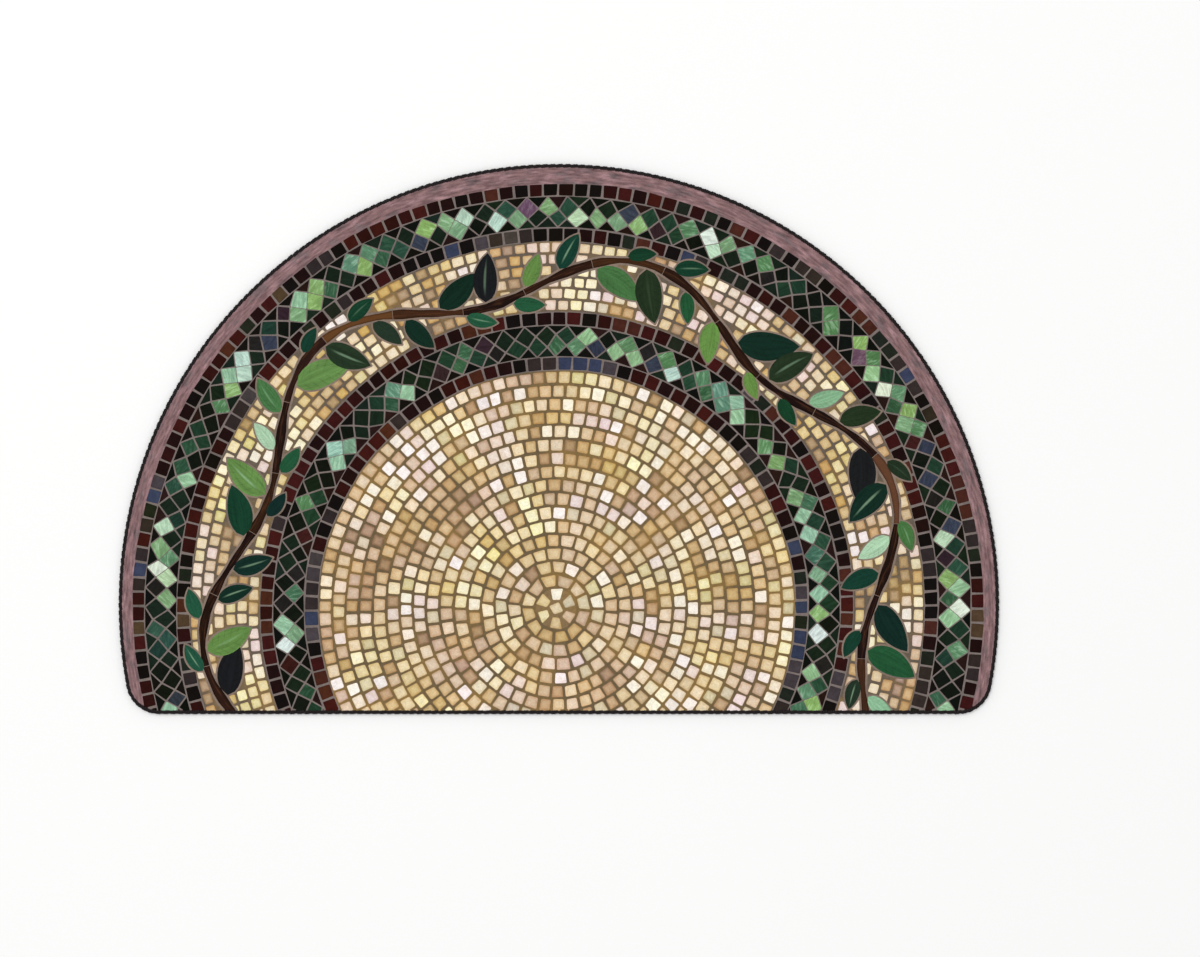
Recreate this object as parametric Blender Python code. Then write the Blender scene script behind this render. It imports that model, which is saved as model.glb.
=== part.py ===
"""Half-round doormat: one flat slab of printed cloth, its whole rim overcast with a black yarn edging.

The mat lies face up on Z = 0. X runs along the straight edge and +Y towards the round side. The origin
is on the floor, under the middle of the mat's length and width. The outline is a circle cut off straight
below its centre, with the two corners rounded. Both solids are lofted from that outline: each ring of
points is the outline drawn in by an inset, at a height, so a short table of insets and heights is the
whole cross-section of the rim.
"""

import math

import bmesh
import bpy

# Outline of the finished mat, edging included, in metres
MAT_WIDTH = 0.990
CHORD_DROP = 0.1237  # from the circle's centre down to the straight edge
CORNER_RADIUS = 0.038

# Heights above the floor
MAT_THICKNESS = 0.0060
EDGING_HEIGHT = 0.0066  # the yarn stands a little above the cloth

# Rim: the cloth is pressed thinner under the yarn, which wraps it above, outside and below
EDGING_WIDTH = 0.0045
YARN_OVER = 0.0011
YARN_OUTSIDE = 0.0011
YARN_UNDER = 0.0008
CLEARANCE = 0.0003  # left between the cloth and the yarn

# Softened corners of the cross-section
SHOULDER_RADIUS = 0.0010  # where the cloth's top face meets its side
EDGING_TOP_RADIUS = 0.0030
EDGING_BOTTOM_RADIUS = 0.0020
EDGING_LIP_RADIUS = 0.0004  # where the yarn ends on the cloth's top face

# Steps along each curve
HALF_ROUND_STEPS = 96
TUCK_STEPS = 6  # where the round side runs on below the circle's centre
CORNER_STEPS = 10
CHORD_STEPS = 12
SECTION_STEPS = 4

# Finishes: base colour, roughness
PRINTED_CLOTH = ((0.46, 0.36, 0.20), 0.92)
BLACK_YARN = ((0.018, 0.015, 0.016), 0.85)

SHARP_ANGLE = math.radians(35)

circle_radius = MAT_WIDTH / 2
mat_depth = circle_radius + CHORD_DROP
circle_centre_y = mat_depth / 2 - circle_radius
chord_y = -mat_depth / 2


def arc(centre, radius, start, end, steps):
    """Points of an arc, both ends included, as (x, y). Angles are in radians."""
    angles = [start + (end - start) * step / steps for step in range(steps + 1)]
    return [(centre[0] + radius * math.cos(a), centre[1] + radius * math.sin(a)) for a in angles]


def outline(inset):
    """The mat's outline drawn in by an inset, counter-clockwise from the right end of the straight edge."""
    corner_y = chord_y + CORNER_RADIUS
    to_corner = circle_radius - CORNER_RADIUS
    tuck = math.asin((circle_centre_y - corner_y) / to_corner)
    corner_x = to_corner * math.cos(tuck)
    corner = CORNER_RADIUS - inset
    centre, radius = (0, circle_centre_y), circle_radius - inset
    right = arc((corner_x, corner_y), corner, -math.pi / 2, -tuck, CORNER_STEPS)
    right_tuck = arc(centre, radius, -tuck, 0, TUCK_STEPS)
    half_round = arc(centre, radius, 0, math.pi, HALF_ROUND_STEPS)
    left_tuck = arc(centre, radius, math.pi, math.pi + tuck, TUCK_STEPS)
    left = arc((-corner_x, corner_y), corner, math.pi + tuck, math.pi * 3 / 2, CORNER_STEPS)
    spacing = 2 * corner_x / CHORD_STEPS
    chord = [(-corner_x + spacing * step, chord_y + inset) for step in range(1, CHORD_STEPS)]
    return right + right_tuck[1:] + half_round[1:] + left_tuck[1:] + left[1:] + chord


def ring_of(mesh, inset, height):
    """One ring of vertices: the outline drawn in by an inset, at a height."""
    return [mesh.verts.new((x, y, height)) for x, y in outline(inset)]


def join(mesh, lower, upper):
    """Faces between two neighbouring rings."""
    for index in range(len(lower)):
        following = (index + 1) % len(lower)
        mesh.faces.new((lower[index], lower[following], upper[following], upper[index]))


def cloth_section():
    """The slab's rim as (inset, height), from its underside to its top face."""
    full_inset = EDGING_WIDTH + CLEARANCE
    tongue_inset = YARN_OUTSIDE + CLEARANCE
    tongue_low = YARN_UNDER + CLEARANCE
    tongue_high = EDGING_HEIGHT - YARN_OVER - CLEARANCE
    shoulder_centre = (full_inset + SHOULDER_RADIUS, MAT_THICKNESS - SHOULDER_RADIUS)
    shoulder = arc(shoulder_centre, SHOULDER_RADIUS, math.pi, math.pi / 2, SECTION_STEPS)
    return [
        (full_inset, 0),
        (full_inset, tongue_low),
        (tongue_inset, tongue_low),
        (tongue_inset, tongue_high),
        (full_inset, tongue_high),
        *shoulder,
    ]


def edging_section():
    """The yarn's closed cross-section as (inset, height), from the lower lip round the outside and back."""
    low_centre = (EDGING_BOTTOM_RADIUS, EDGING_BOTTOM_RADIUS)
    high_centre = (EDGING_TOP_RADIUS, EDGING_HEIGHT - EDGING_TOP_RADIUS)
    lip_centre = (EDGING_WIDTH - EDGING_LIP_RADIUS, EDGING_HEIGHT - EDGING_LIP_RADIUS)
    channel_high = EDGING_HEIGHT - YARN_OVER
    return [
        (EDGING_WIDTH, 0),
        *arc(low_centre, EDGING_BOTTOM_RADIUS, math.pi * 3 / 2, math.pi, SECTION_STEPS),
        *arc(high_centre, EDGING_TOP_RADIUS, math.pi, math.pi / 2, SECTION_STEPS),
        *arc(lip_centre, EDGING_LIP_RADIUS, math.pi / 2, 0, SECTION_STEPS // 2),
        (EDGING_WIDTH, channel_high),
        (YARN_OUTSIDE, channel_high),
        (YARN_OUTSIDE, YARN_UNDER),
        (EDGING_WIDTH, YARN_UNDER),
    ]


def finish(name, colour, roughness):
    """A Principled material."""
    material = bpy.data.materials.new(name)
    material.use_nodes = True
    shader = material.node_tree.nodes["Principled BSDF"]
    shader.inputs["Base Color"].default_value = (*colour, 1)
    shader.inputs["Roughness"].default_value = roughness
    shader.inputs["Metallic"].default_value = 0
    return material


def place(name, mesh, material):
    """Turns a bmesh into a named, smooth-shaded object with its normals pointing out."""
    bmesh.ops.recalc_face_normals(mesh, faces=mesh.faces)
    data = bpy.data.meshes.new(name)
    mesh.to_mesh(data)
    mesh.free()
    data.shade_smooth()
    data.set_sharp_from_angle(angle=SHARP_ANGLE)
    data.materials.append(material)
    piece = bpy.data.objects.new(name, data)
    bpy.context.scene.collection.objects.link(piece)
    return piece


def make_cloth():
    """The printed slab, full thickness inside the edging and pressed to a thin tongue under it."""
    mesh = bmesh.new()
    rings = [ring_of(mesh, inset, height) for inset, height in cloth_section()]
    for lower, upper in zip(rings, rings[1:]):
        join(mesh, lower, upper)
    mesh.faces.new(reversed(rings[0]))
    mesh.faces.new(rings[-1])
    return place("printed_mat", mesh, finish("printed_cloth", *PRINTED_CLOTH))


def make_edging():
    """The overcast yarn as one channel that runs all the way round the rim."""
    mesh = bmesh.new()
    rings = [ring_of(mesh, inset, height) for inset, height in edging_section()]
    for lower, upper in zip(rings, rings[1:] + rings[:1]):
        join(mesh, lower, upper)
    return place("yarn_edging", mesh, finish("black_yarn", *BLACK_YARN))


def main():
    """Clears the scene and makes the mat's two pieces."""
    for old in list(bpy.data.objects):
        bpy.data.objects.remove(old)
    make_cloth()
    make_edging()


main()
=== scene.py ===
"""Half-round doormat: its looks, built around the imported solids.

The cloth is printed with a mosaic: rings of pale stones round a centre, dark rows, two bands of diamonds,
a band with a running vine, and a plum border. The print is colour alone, so nothing of it is raised: each
stone, leaf and stretch of stem is a patch of the flat top face with its own colour, and the finishes draw
what is inside a patch. The print is laid out in millimetres round its own centre, which isn't quite the
outline's. Its angles are in radians, clockwise from straight up.
"""

import logging
import math
import random
from collections.abc import Callable, Iterator, Sequence
from dataclasses import dataclass, field
from enum import Enum

import bpy
import numpy as np
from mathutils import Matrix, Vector, noise
from mathutils.geometry import delaunay_2d_cdt


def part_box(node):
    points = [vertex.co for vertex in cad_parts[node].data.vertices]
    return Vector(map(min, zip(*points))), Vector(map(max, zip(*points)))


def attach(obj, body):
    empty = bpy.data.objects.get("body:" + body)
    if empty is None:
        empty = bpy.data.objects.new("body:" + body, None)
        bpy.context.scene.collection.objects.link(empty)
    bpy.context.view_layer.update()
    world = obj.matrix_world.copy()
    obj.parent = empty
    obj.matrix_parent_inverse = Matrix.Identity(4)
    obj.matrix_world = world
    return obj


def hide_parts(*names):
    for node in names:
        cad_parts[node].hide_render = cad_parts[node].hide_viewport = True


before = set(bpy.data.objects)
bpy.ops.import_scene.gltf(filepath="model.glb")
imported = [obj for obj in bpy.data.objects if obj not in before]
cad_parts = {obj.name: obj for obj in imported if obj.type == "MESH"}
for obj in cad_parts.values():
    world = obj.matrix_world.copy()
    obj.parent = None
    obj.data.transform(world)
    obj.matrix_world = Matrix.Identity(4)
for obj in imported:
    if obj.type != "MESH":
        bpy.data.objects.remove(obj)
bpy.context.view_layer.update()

Point = tuple[float, float]
Colour = tuple[float, float, float]

MM = 0.001
CM = 10.0  # in millimetres
BODY = "root"
TURN = 2 * math.pi
MIDDLE = 0.5  # of a noise node's values
MOST_CUT = 0.45  # of a side, so that the cuts at its two ends never meet
log = logging.getLogger("doormat")


def ink(red: int, green: int, blue: int) -> Colour:
    """A colour as a screen shows it, 0 to 255, turned into linear light."""
    shown = (channel / 255 for channel in (red, green, blue))
    return tuple(c / 12.92 if c <= 0.04045 else ((c + 0.055) / 1.055) ** 2.4 for c in shown)


def shaded(colour: Colour, factor: float) -> Colour:
    """A colour made lighter or darker by a factor."""
    return tuple(min(channel * factor, 1.0) for channel in colour)


def placed(name: str, data: bpy.types.ID) -> bpy.types.Object:
    """A new object that holds some data, put in the scene.

    Args:
        name: its name.
        data: its mesh, light or camera.

    Returns:
        The object.
    """
    item = bpy.data.objects.new(name, data)
    bpy.context.scene.collection.objects.link(item)
    return item


class Socket:
    """A node's output that takes part in Python sums. Each sum adds a Math node."""

    def __init__(self, nodes: "Nodes", source: bpy.types.NodeSocket) -> None:
        """Keeps the output and the tree that it is in."""
        self.nodes = nodes
        self.source = source

    def math(self, operation: str, *values: "Socket | float") -> "Socket":
        """The result of a Math node.

        Args:
            operation: the Math node's operation.
            values: its inputs, in order.

        Returns:
            The node's output.
        """
        return self.nodes.node("ShaderNodeMath", {"operation": operation}, dict(enumerate(values)))

    def __add__(self, other: "Socket | float") -> "Socket":
        """This value plus another."""
        return self.math("ADD", self, other)

    __radd__ = __add__

    def __sub__(self, other: "Socket | float") -> "Socket":
        """This value less another."""
        return self.math("SUBTRACT", self, other)

    def __rsub__(self, other: float) -> "Socket":
        """A number less this value."""
        return self.math("SUBTRACT", other, self)

    def __mul__(self, other: "Socket | float") -> "Socket":
        """This value times another."""
        return self.math("MULTIPLY", self, other)

    __rmul__ = __mul__

    def __abs__(self) -> "Socket":
        """This value without its sign."""
        return self.math("ABSOLUTE", self)

    def larger(self, other: "Socket | float") -> "Socket":
        """The larger of this value and another."""
        return self.math("MAXIMUM", self, other)

    def sine(self) -> "Socket":
        """The sine of this value."""
        return self.math("SINE", self)

    def fraction(self) -> "Socket":
        """This value's fraction."""
        return self.math("FRACT", self)


class Nodes:
    """A node tree of any kind, to which nodes are added by name."""

    def __init__(self, tree: bpy.types.NodeTree) -> None:
        """Keeps the tree."""
        self.tree = tree

    def node(
        self,
        kind: str,
        settings: dict[str, object] | None = None,
        sockets: dict[str | int, object] | None = None,
        output: str | int = 0,
    ) -> Socket:
        """Adds a node.

        Args:
            kind: the node's type.
            settings: its own properties, which are set before its sockets.
            sockets: the value or link that each input takes, by the input's name or number.
            output: the name or number of the output that is wanted.

        Returns:
            That output.
        """
        node = self.tree.nodes.new(kind)
        for name, value in (settings or {}).items():
            setattr(node, name, value)
        for name, value in (sockets or {}).items():
            if isinstance(value, Socket):
                self.tree.links.new(value.source, node.inputs[name])
            else:
                node.inputs[name].default_value = value
        return Socket(self, node.outputs[output])


class Shader(Nodes):
    """A material's nodes, with the few that every finish here uses."""

    def __init__(self, name: str) -> None:
        """Makes an empty Principled material.

        Args:
            name: its name.
        """
        self.material = bpy.data.materials.new(name)
        self.material.use_nodes = True
        super().__init__(self.material.node_tree)
        self.surface = self.tree.nodes["Principled BSDF"]

    def set(self, **values: object) -> None:
        """Sets or links the surface's inputs, whose names are written with underscores.

        Args:
            values: the value or link that each input takes, by the input's name.
        """
        for name, value in values.items():
            socket = self.surface.inputs[name.replace("_", " ")]
            if isinstance(value, Socket):
                self.tree.links.new(value.source, socket)
            else:
                socket.default_value = value

    def place(self) -> Socket:
        """The point being shaded, in the piece's own metres."""
        return self.node("ShaderNodeTexCoord", output="Object")

    def colour_of(self, attribute: str) -> Socket:
        """A colour attribute of the piece."""
        return self.node("ShaderNodeAttribute", {"attribute_name": attribute}, output="Color")

    def number_of(self, attribute: str) -> Socket:
        """A number attribute of the piece."""
        return self.node("ShaderNodeAttribute", {"attribute_name": attribute}, output="Fac")

    def map_of(self, name: str) -> tuple[Socket, Socket]:
        """The two coordinates of one of the piece's UV maps."""
        return self.split(self.node("ShaderNodeUVMap", {"uv_map": name}))

    def split(self, vector: Socket) -> tuple[Socket, Socket]:
        """The X and the Y of a vector."""
        return tuple(self.node("ShaderNodeSeparateXYZ", sockets={0: vector}, output=axis) for axis in "XY")

    def joined(self, x: Socket | float, y: Socket | float, z: Socket | float = 0.0) -> Socket:
        """A vector of three values."""
        return self.node("ShaderNodeCombineXYZ", sockets={"X": x, "Y": y, "Z": z})

    def clouds(self, where: Socket, scale: float, detail: float = 2.0, twist: float = 0.0) -> Socket:
        """Noise.

        Args:
            where: the coordinates that it is read at.
            scale: its features in one unit of those.
            detail: how many finer layers it has.
            twist: how far it is distorted.

        Returns:
            A value about 0.5.
        """
        sockets = {"Vector": where, "Scale": scale, "Detail": detail, "Distortion": twist}
        return self.node("ShaderNodeTexNoise", {"noise_dimensions": "3D"}, sockets)

    def ramped(self, value: Socket, low: float, high: float) -> Socket:
        """0 below low, 1 above high and a smooth step between them.

        Args:
            value: the value that is read.
            low: where the step starts.
            high: where it ends.

        Returns:
            A value from 0 to 1.
        """
        return self.node(
            "ShaderNodeMapRange",
            {"interpolation_type": "SMOOTHSTEP"},
            {"Value": value, "From Min": low, "From Max": high},
        )

    def blended(self, factor: Socket | float, first: Socket | Colour, second: Socket | Colour) -> Socket:
        """A mix of two colours, all of the second where the factor is 1.

        Args:
            factor: how much of the second colour there is.
            first: one colour.
            second: the other.

        Returns:
            The mixed colour.
        """
        sides = [side if isinstance(side, Socket) else (*side, 1) for side in (first, second)]
        settings = {"data_type": "RGBA", "clamp_factor": True}
        return self.node("ShaderNodeMix", settings, {0: factor, 6: sides[0], 7: sides[1]}, output=2)

    def lit(self, colour: Socket | Colour, factor: Socket) -> Socket:
        """A colour times a factor."""
        return self.node("ShaderNodeVectorMath", {"operation": "SCALE"}, {0: colour, "Scale": factor})

    def relief(self, height: Socket, strength: float) -> Socket:
        """The way that the surface faces where a height in metres is laid on it."""
        return self.node("ShaderNodeBump", sockets={"Height": height, "Distance": 1.0, "Strength": strength})


PATCH_COLOUR = "patch_colour"
PATCH_SEED = "patch_seed"
PATCH_MAP = "patch_map"
BAKE_MAP = "OFBake"


@dataclass(frozen=True)
class Streaks:
    """Noise drawn out along a piece, and another part of it on each."""

    along: float
    across: float
    scale: float
    sheet: float = 0.0  # where it is read on a piece whose seed is 1
    detail: float = 2.0
    twist: float = 0.0

    def read(self, shader: Shader, along: Socket, across: Socket, seed: Socket | float = 1.0) -> Socket:
        """The noise at the point being shaded.

        Args:
            shader: the material's nodes.
            along: the point's place along the piece.
            across: its place across the piece.
            seed: the piece's own number.

        Returns:
            A value about 0.5.
        """
        where = shader.joined(along * self.along, across * self.across, seed * self.sheet)
        return shader.clouds(where, self.scale, self.detail, self.twist)


@dataclass(frozen=True)
class PrintFinish:
    """Ink on the short nap of the cloth. What is painted inside a patch is each kind's own."""

    name: str
    # painted shade: the pile's own shadow, which darkens every colour to this share
    level: float = 0.92
    nap_scale: float = 1250.0
    nap_shade: float = 0.5
    tuft_scale: float = 260.0
    tuft_shade: float = 0.14
    nap_depth: float = 0.0006
    tuft_depth: float = 0.6  # of the nap's depth
    sway_scale: float = 14.0
    sway_depth: float = 0.0012
    bump: float = 0.6
    roughness: float = 0.93
    roughness_spread: float = 0.1
    specular: float = 0.05

    def paint(self, shader: Shader) -> Socket:
        """The colour inside a patch, before the nap."""
        return shader.colour_of(PATCH_COLOUR)

    def make(self) -> bpy.types.Material:
        """The material: the paint, with the nap's painted shade, roughness and relief.

        Returns:
            The finished material.
        """
        shader = Shader(self.name)
        place = shader.place()
        nap = shader.clouds(place, self.nap_scale, detail=1.0)
        tufts = shader.clouds(place, self.tuft_scale, detail=2.0)
        # painted shade of the pile: its overall shadow, and the uneven shadow of its nap and tufts
        shade = self.level + (nap - MIDDLE) * self.nap_shade + (tufts - MIDDLE) * self.tuft_shade
        sway = shader.clouds(place, self.sway_scale, detail=1.0)
        height = nap * self.nap_depth + tufts * self.nap_depth * self.tuft_depth + sway * self.sway_depth
        relief = shader.relief(height, self.bump)
        shader.set(
            Base_Color=shader.lit(self.paint(shader), shade),
            Roughness=(nap - MIDDLE) * self.roughness_spread + self.roughness,
            Normal=relief,
            Metallic=0.0,
            Specular_IOR_Level=self.specular,
        )
        return shader.material


@dataclass(frozen=True)
class StonePrint(PrintFinish):
    """A tumbled stone: mottled, paler in the middle and darker at its rim."""

    vein_scale: float = 230.0
    vein_twist: float = 0.8
    vein: float = 0.42
    brightness: float = 1.04
    warm: Colour = ink(204, 158, 92)
    warmth: float = 0.22
    bloom_scale: float = 0.45  # of the veins' scale
    bloom_range: Point = (0.5, 0.8)
    rim: float = 0.7
    rim_range: Point = (0.35, 1.15)

    def paint(self, shader: Shader) -> Socket:
        """The stone's colour with its veins, a warm bloom and its rim.

        Args:
            shader: the material's nodes.

        Returns:
            The colour, before the nap.
        """
        across, along = shader.map_of(PATCH_MAP)
        seed = shader.number_of(PATCH_SEED)
        moved = shader.node("ShaderNodeVectorMath", {"operation": "ADD"}, {0: shader.place(), 1: seed})
        veins = shader.clouds(moved, self.vein_scale, detail=3.0, twist=self.vein_twist)
        bloom = shader.clouds(moved, self.vein_scale * self.bloom_scale)
        bloom = shader.ramped(bloom, *self.bloom_range) * self.warmth
        colour = shader.blended(bloom, shader.colour_of(PATCH_COLOUR), self.warm)
        edge = shader.ramped(abs(across).larger(abs(along)), *self.rim_range) * self.rim
        deeper = shader.node("ShaderNodeVectorMath", {"operation": "MULTIPLY"}, {0: colour, 1: colour})
        colour = shader.blended(edge, colour, deeper)
        return shader.lit(colour, self.brightness + (veins - MIDDLE) * self.vein)


@dataclass(frozen=True)
class GlassPrint(PrintFinish):
    """Streaked art glass, each piece with its streaks another way."""

    turning: float = 40.0  # how far the streaks of a piece whose seed is 1 are turned
    streaks: Streaks = Streaks(0.45, 1.7, 1.6, sheet=90.0, twist=0.5)
    dark_range: Point = (0.25, 0.7)
    dark_middle: float = 0.55
    depth: float = 0.42
    milk: Colour = ink(206, 232, 208)
    milkiness: float = 0.24
    milk_range: Point = (0.52, 0.72)
    pale_range: Point = (0.02, 0.22)  # how light glass is that starts to show milk, and that shows it all

    def paint(self, shader: Shader) -> Socket:
        """The glass's colour with dark and milky streaks.

        Args:
            shader: the material's nodes.

        Returns:
            The colour, before the nap.
        """
        across, along = shader.map_of(PATCH_MAP)
        seed = shader.number_of(PATCH_SEED)
        turned = shader.node(
            "ShaderNodeVectorRotate",
            {"rotation_type": "Z_AXIS"},
            {"Vector": shader.joined(across, along), "Angle": seed * self.turning},
        )
        streaks = self.streaks.read(shader, *shader.split(turned), seed)
        colour = shader.colour_of(PATCH_COLOUR)
        lightness = shader.node("ShaderNodeRGBToBW", sockets={0: colour})
        milky = shader.ramped(streaks, *self.milk_range) * shader.ramped(lightness, *self.pale_range)
        colour = shader.blended(milky * self.milkiness, colour, self.milk)
        dark = shader.ramped(streaks, *self.dark_range)
        return shader.lit(colour, 1 + (dark - self.dark_middle) * self.depth)


@dataclass(frozen=True)
class EnamelPrint(PrintFinish):
    """The dark rows' squares: nearly flat, a little cloudy."""

    cloud_scale: float = 130.0
    cloud: float = 0.7
    wear: float = 0.15
    wear_range: Point = (0.7, 1.05)

    def paint(self, shader: Shader) -> Socket:
        """The square's colour with its clouds and a slightly worn rim.

        Args:
            shader: the material's nodes.

        Returns:
            The colour, before the nap.
        """
        across, along = shader.map_of(PATCH_MAP)
        clouds = shader.clouds(shader.place(), self.cloud_scale, detail=3.0)
        edge = shader.ramped(abs(across).larger(abs(along)), *self.wear_range)
        colour = shader.colour_of(PATCH_COLOUR)
        return shader.lit(colour, 1 + (clouds - MIDDLE) * self.cloud - edge * self.wear)


@dataclass(frozen=True)
class GroutPrint(PrintFinish):
    """The joints: sandy, and warmer in places."""

    sand_scale: float = 420.0
    sand: float = 0.5
    cloud_scale: float = 22.0
    warm: Colour = ink(154, 122, 70)
    warmth: float = 0.8
    warm_range: Point = (0.4, 0.75)

    def paint(self, shader: Shader) -> Socket:
        """The joints' colour with its sand and warm places.

        Args:
            shader: the material's nodes.

        Returns:
            The colour, before the nap.
        """
        place = shader.place()
        clouds = shader.clouds(place, self.cloud_scale, detail=3.0)
        warm = shader.ramped(clouds, *self.warm_range) * self.warmth
        colour = shader.blended(warm, shader.colour_of(PATCH_COLOUR), self.warm)
        return shader.lit(colour, 1 + (shader.clouds(place, self.sand_scale) - MIDDLE) * self.sand)


@dataclass(frozen=True)
class LeafPrint(PrintFinish):
    """A leaf cut from streaked glass, with a pale midrib and faint side veins."""

    streaks: Streaks = Streaks(1.1, 2.6, 1.7, sheet=50.0, detail=3.0, twist=0.4)
    grain: float = 1.0
    side_veins: float = 7.0
    vein_slant: float = 0.16
    vein_width: float = 0.16  # of the way to the next
    vein_depth: float = 0.16
    vein_range: Point = (0.1, 0.5)  # how far across they start to show, and where all of them does
    rib_colour: Colour = ink(176, 216, 176)
    rib: float = 0.38
    rib_aside: float = 0.03
    rib_width: Point = (0.02, 0.16)
    rib_start: Point = (0.08, 0.4)
    rib_end: Point = (0.55, 0.96)
    rib_seeds: Point = (0.55, 0.95)  # the seeds of leaves whose rib starts to show, and shows in full

    def paint(self, shader: Shader) -> Socket:
        """The leaf's colour with its streaks, side veins and midrib.

        Args:
            shader: the material's nodes.

        Returns:
            The colour, before the nap.
        """
        along, across = shader.map_of(PATCH_MAP)
        seed = shader.number_of(PATCH_SEED)
        streaks = self.streaks.read(shader, along, across, seed)
        colour = shader.colour_of(PATCH_COLOUR)
        between = ((along - abs(across) * self.vein_slant) * self.side_veins).fraction()
        veins = 1 - shader.ramped(abs(between - 0.5), 0.0, self.vein_width)
        veins = veins * self.vein_depth * shader.ramped(abs(across), *self.vein_range)
        colour = shader.lit(colour, 1 + (streaks - MIDDLE) * self.grain - veins)
        inside = shader.ramped(along, *self.rib_start) * (1 - shader.ramped(along, *self.rib_end))
        rib = 1 - shader.ramped(abs(across - self.rib_aside), *self.rib_width)
        rib = rib * inside * shader.ramped(seed, *self.rib_seeds) * self.rib
        return shader.blended(rib, colour, self.rib_colour)


@dataclass(frozen=True)
class StemPrint(PrintFinish):
    """A woody stem: dark, with a reddish grain along it."""

    lines: Streaks = Streaks(0.25, 1.3, 1.8, sheet=30.0, detail=3.0, twist=0.3)
    grain_colour: Colour = ink(98, 60, 38)
    grain: float = 0.45
    grain_range: Point = (0.48, 0.74)
    brightness: float = 1.1
    roundness: float = 0.5
    round_range: Point = (0.4, 1.0)

    def paint(self, shader: Shader) -> Socket:
        """The stem's colour with its grain.

        Args:
            shader: the material's nodes.

        Returns:
            The colour, before the nap.
        """
        along, across = shader.map_of(PATCH_MAP)
        seed = shader.number_of(PATCH_SEED)
        red = shader.ramped(self.lines.read(shader, along, across, seed), *self.grain_range) * self.grain
        colour = shader.blended(red, shader.colour_of(PATCH_COLOUR), self.grain_colour)
        side = shader.ramped(abs(across), *self.round_range)
        return shader.lit(colour, self.brightness - side * self.roundness)


@dataclass(frozen=True)
class Wash:
    """A thin layer of another colour, in clouds."""

    colour: Colour
    clouds: Streaks
    low: float
    high: float
    strength: float


@dataclass(frozen=True)
class BorderPrint(PrintFinish):
    """The plum border: brushed along the rim, with clouds of pink, of grey and of a deeper plum."""

    washes: tuple[Wash, ...] = (
        Wash(ink(163, 129, 132), Streaks(0.26, 0.7, 2.1, detail=3.0), 0.46, 0.68, 0.75),
        Wash(ink(114, 100, 102), Streaks(0.3, 0.6, 1.9, sheet=7.0), 0.5, 0.7, 0.75),
        Wash(ink(100, 68, 76), Streaks(0.5, 1.2, 2.3, sheet=3.0), 0.55, 0.78, 0.45),
    )
    marks: Streaks = Streaks(0.35, 1.5, 2.4, sheet=5.0, detail=3.0)
    brush: float = 2.0

    def paint(self, shader: Shader) -> Socket:
        """The border's colour with its clouds and brush marks.

        Args:
            shader: the material's nodes.

        Returns:
            The colour, before the nap.
        """
        along, across = shader.map_of(PATCH_MAP)
        colour = shader.colour_of(PATCH_COLOUR)
        for wash in self.washes:
            clouds = wash.clouds.read(shader, along, across)
            cover = shader.ramped(clouds, wash.low, wash.high) * wash.strength
            colour = shader.blended(cover, colour, wash.colour)
        marks = self.marks.read(shader, along, across)
        return shader.lit(colour, 1 + (marks - MIDDLE) * self.brush)


@dataclass(frozen=True)
class BackingFinish(PrintFinish):
    """The unprinted underside: a plain tight weave."""

    thread: float = 0.0011
    thread_shade: float = 0.35

    def paint(self, shader: Shader) -> Socket:
        """The plain colour, with painted light on the threads' crests and painted shade between them.

        Args:
            shader: the material's nodes.

        Returns:
            The colour, before the nap.
        """
        x, y = shader.split(shader.place())
        # painted light and shade: lighter on the threads' crests, darker between them
        lit_crests = (x * (math.pi / self.thread)).sine() * (y * (math.pi / self.thread)).sine()
        return shader.lit(shader.colour_of(PATCH_COLOUR), 1 + lit_crests * self.thread_shade)


@dataclass(frozen=True)
class YarnFinish:
    """Black spun yarn, its plies twisted along each strand."""

    name: str = "black_yarn"
    colour: Colour = ink(22, 18, 19)
    # painted highlight: the colour on the plies' crests
    crest_highlight: Colour = ink(48, 42, 43)
    ply_length: float = 1.9
    twist: float = 3.6
    start: float = 20.0  # where the twist starts on a stitch whose seed is 1
    ply_depth: float = 0.00022
    # painted shade on a strand's sides: the crests' highlight fades between these shares of the way across
    flank: Point = (0.45, 1.0)  # where a strand's crests start to fade, and where they end
    fuzz_scale: float = 2600.0
    fuzz: float = 0.8
    light_range: Point = (0.1, 1.0)
    stray: float = 0.1  # how much lighter than another a stitch may be
    bump: float = 0.8
    roughness: float = 0.9
    roughness_spread: float = 0.15
    specular: float = 0.12

    def make(self) -> bpy.types.Material:
        """The material: painted shade between the plies and a painted highlight on their crests.

        Returns:
            The finished material.
        """
        shader = Shader(self.name)
        across, along = shader.map_of(OvercastEdging.YARN_MAP)
        seed = shader.number_of(OvercastEdging.SEED)
        strand = ((across + 1) * (OvercastEdging.strands / 2)).fraction() * 2 - 1
        turns = along * (TURN / self.ply_length) + strand * self.twist + seed * self.start
        plies = turns.sine() * 0.5 + 0.5
        fuzz = shader.clouds(shader.place(), self.fuzz_scale, detail=2.0)
        # painted light: a highlight on the ply crests, fading into painted shade between the plies and on a
        # strand's sides
        lit_crests = plies * (1 - shader.ramped(abs(strand), *self.flank))
        light = shader.ramped(lit_crests + (fuzz - MIDDLE) * self.fuzz, *self.light_range)
        light = light * (1 - self.stray) + seed * self.stray
        height = plies * self.ply_depth + fuzz * self.ply_depth
        relief = shader.relief(height, self.bump)
        shader.set(
            Base_Color=shader.blended(light, self.colour, self.crest_highlight),
            Roughness=(fuzz - MIDDLE) * self.roughness_spread + self.roughness,
            Normal=relief,
            Metallic=0.0,
            Specular_IOR_Level=self.specular,
        )
        return shader.material


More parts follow.
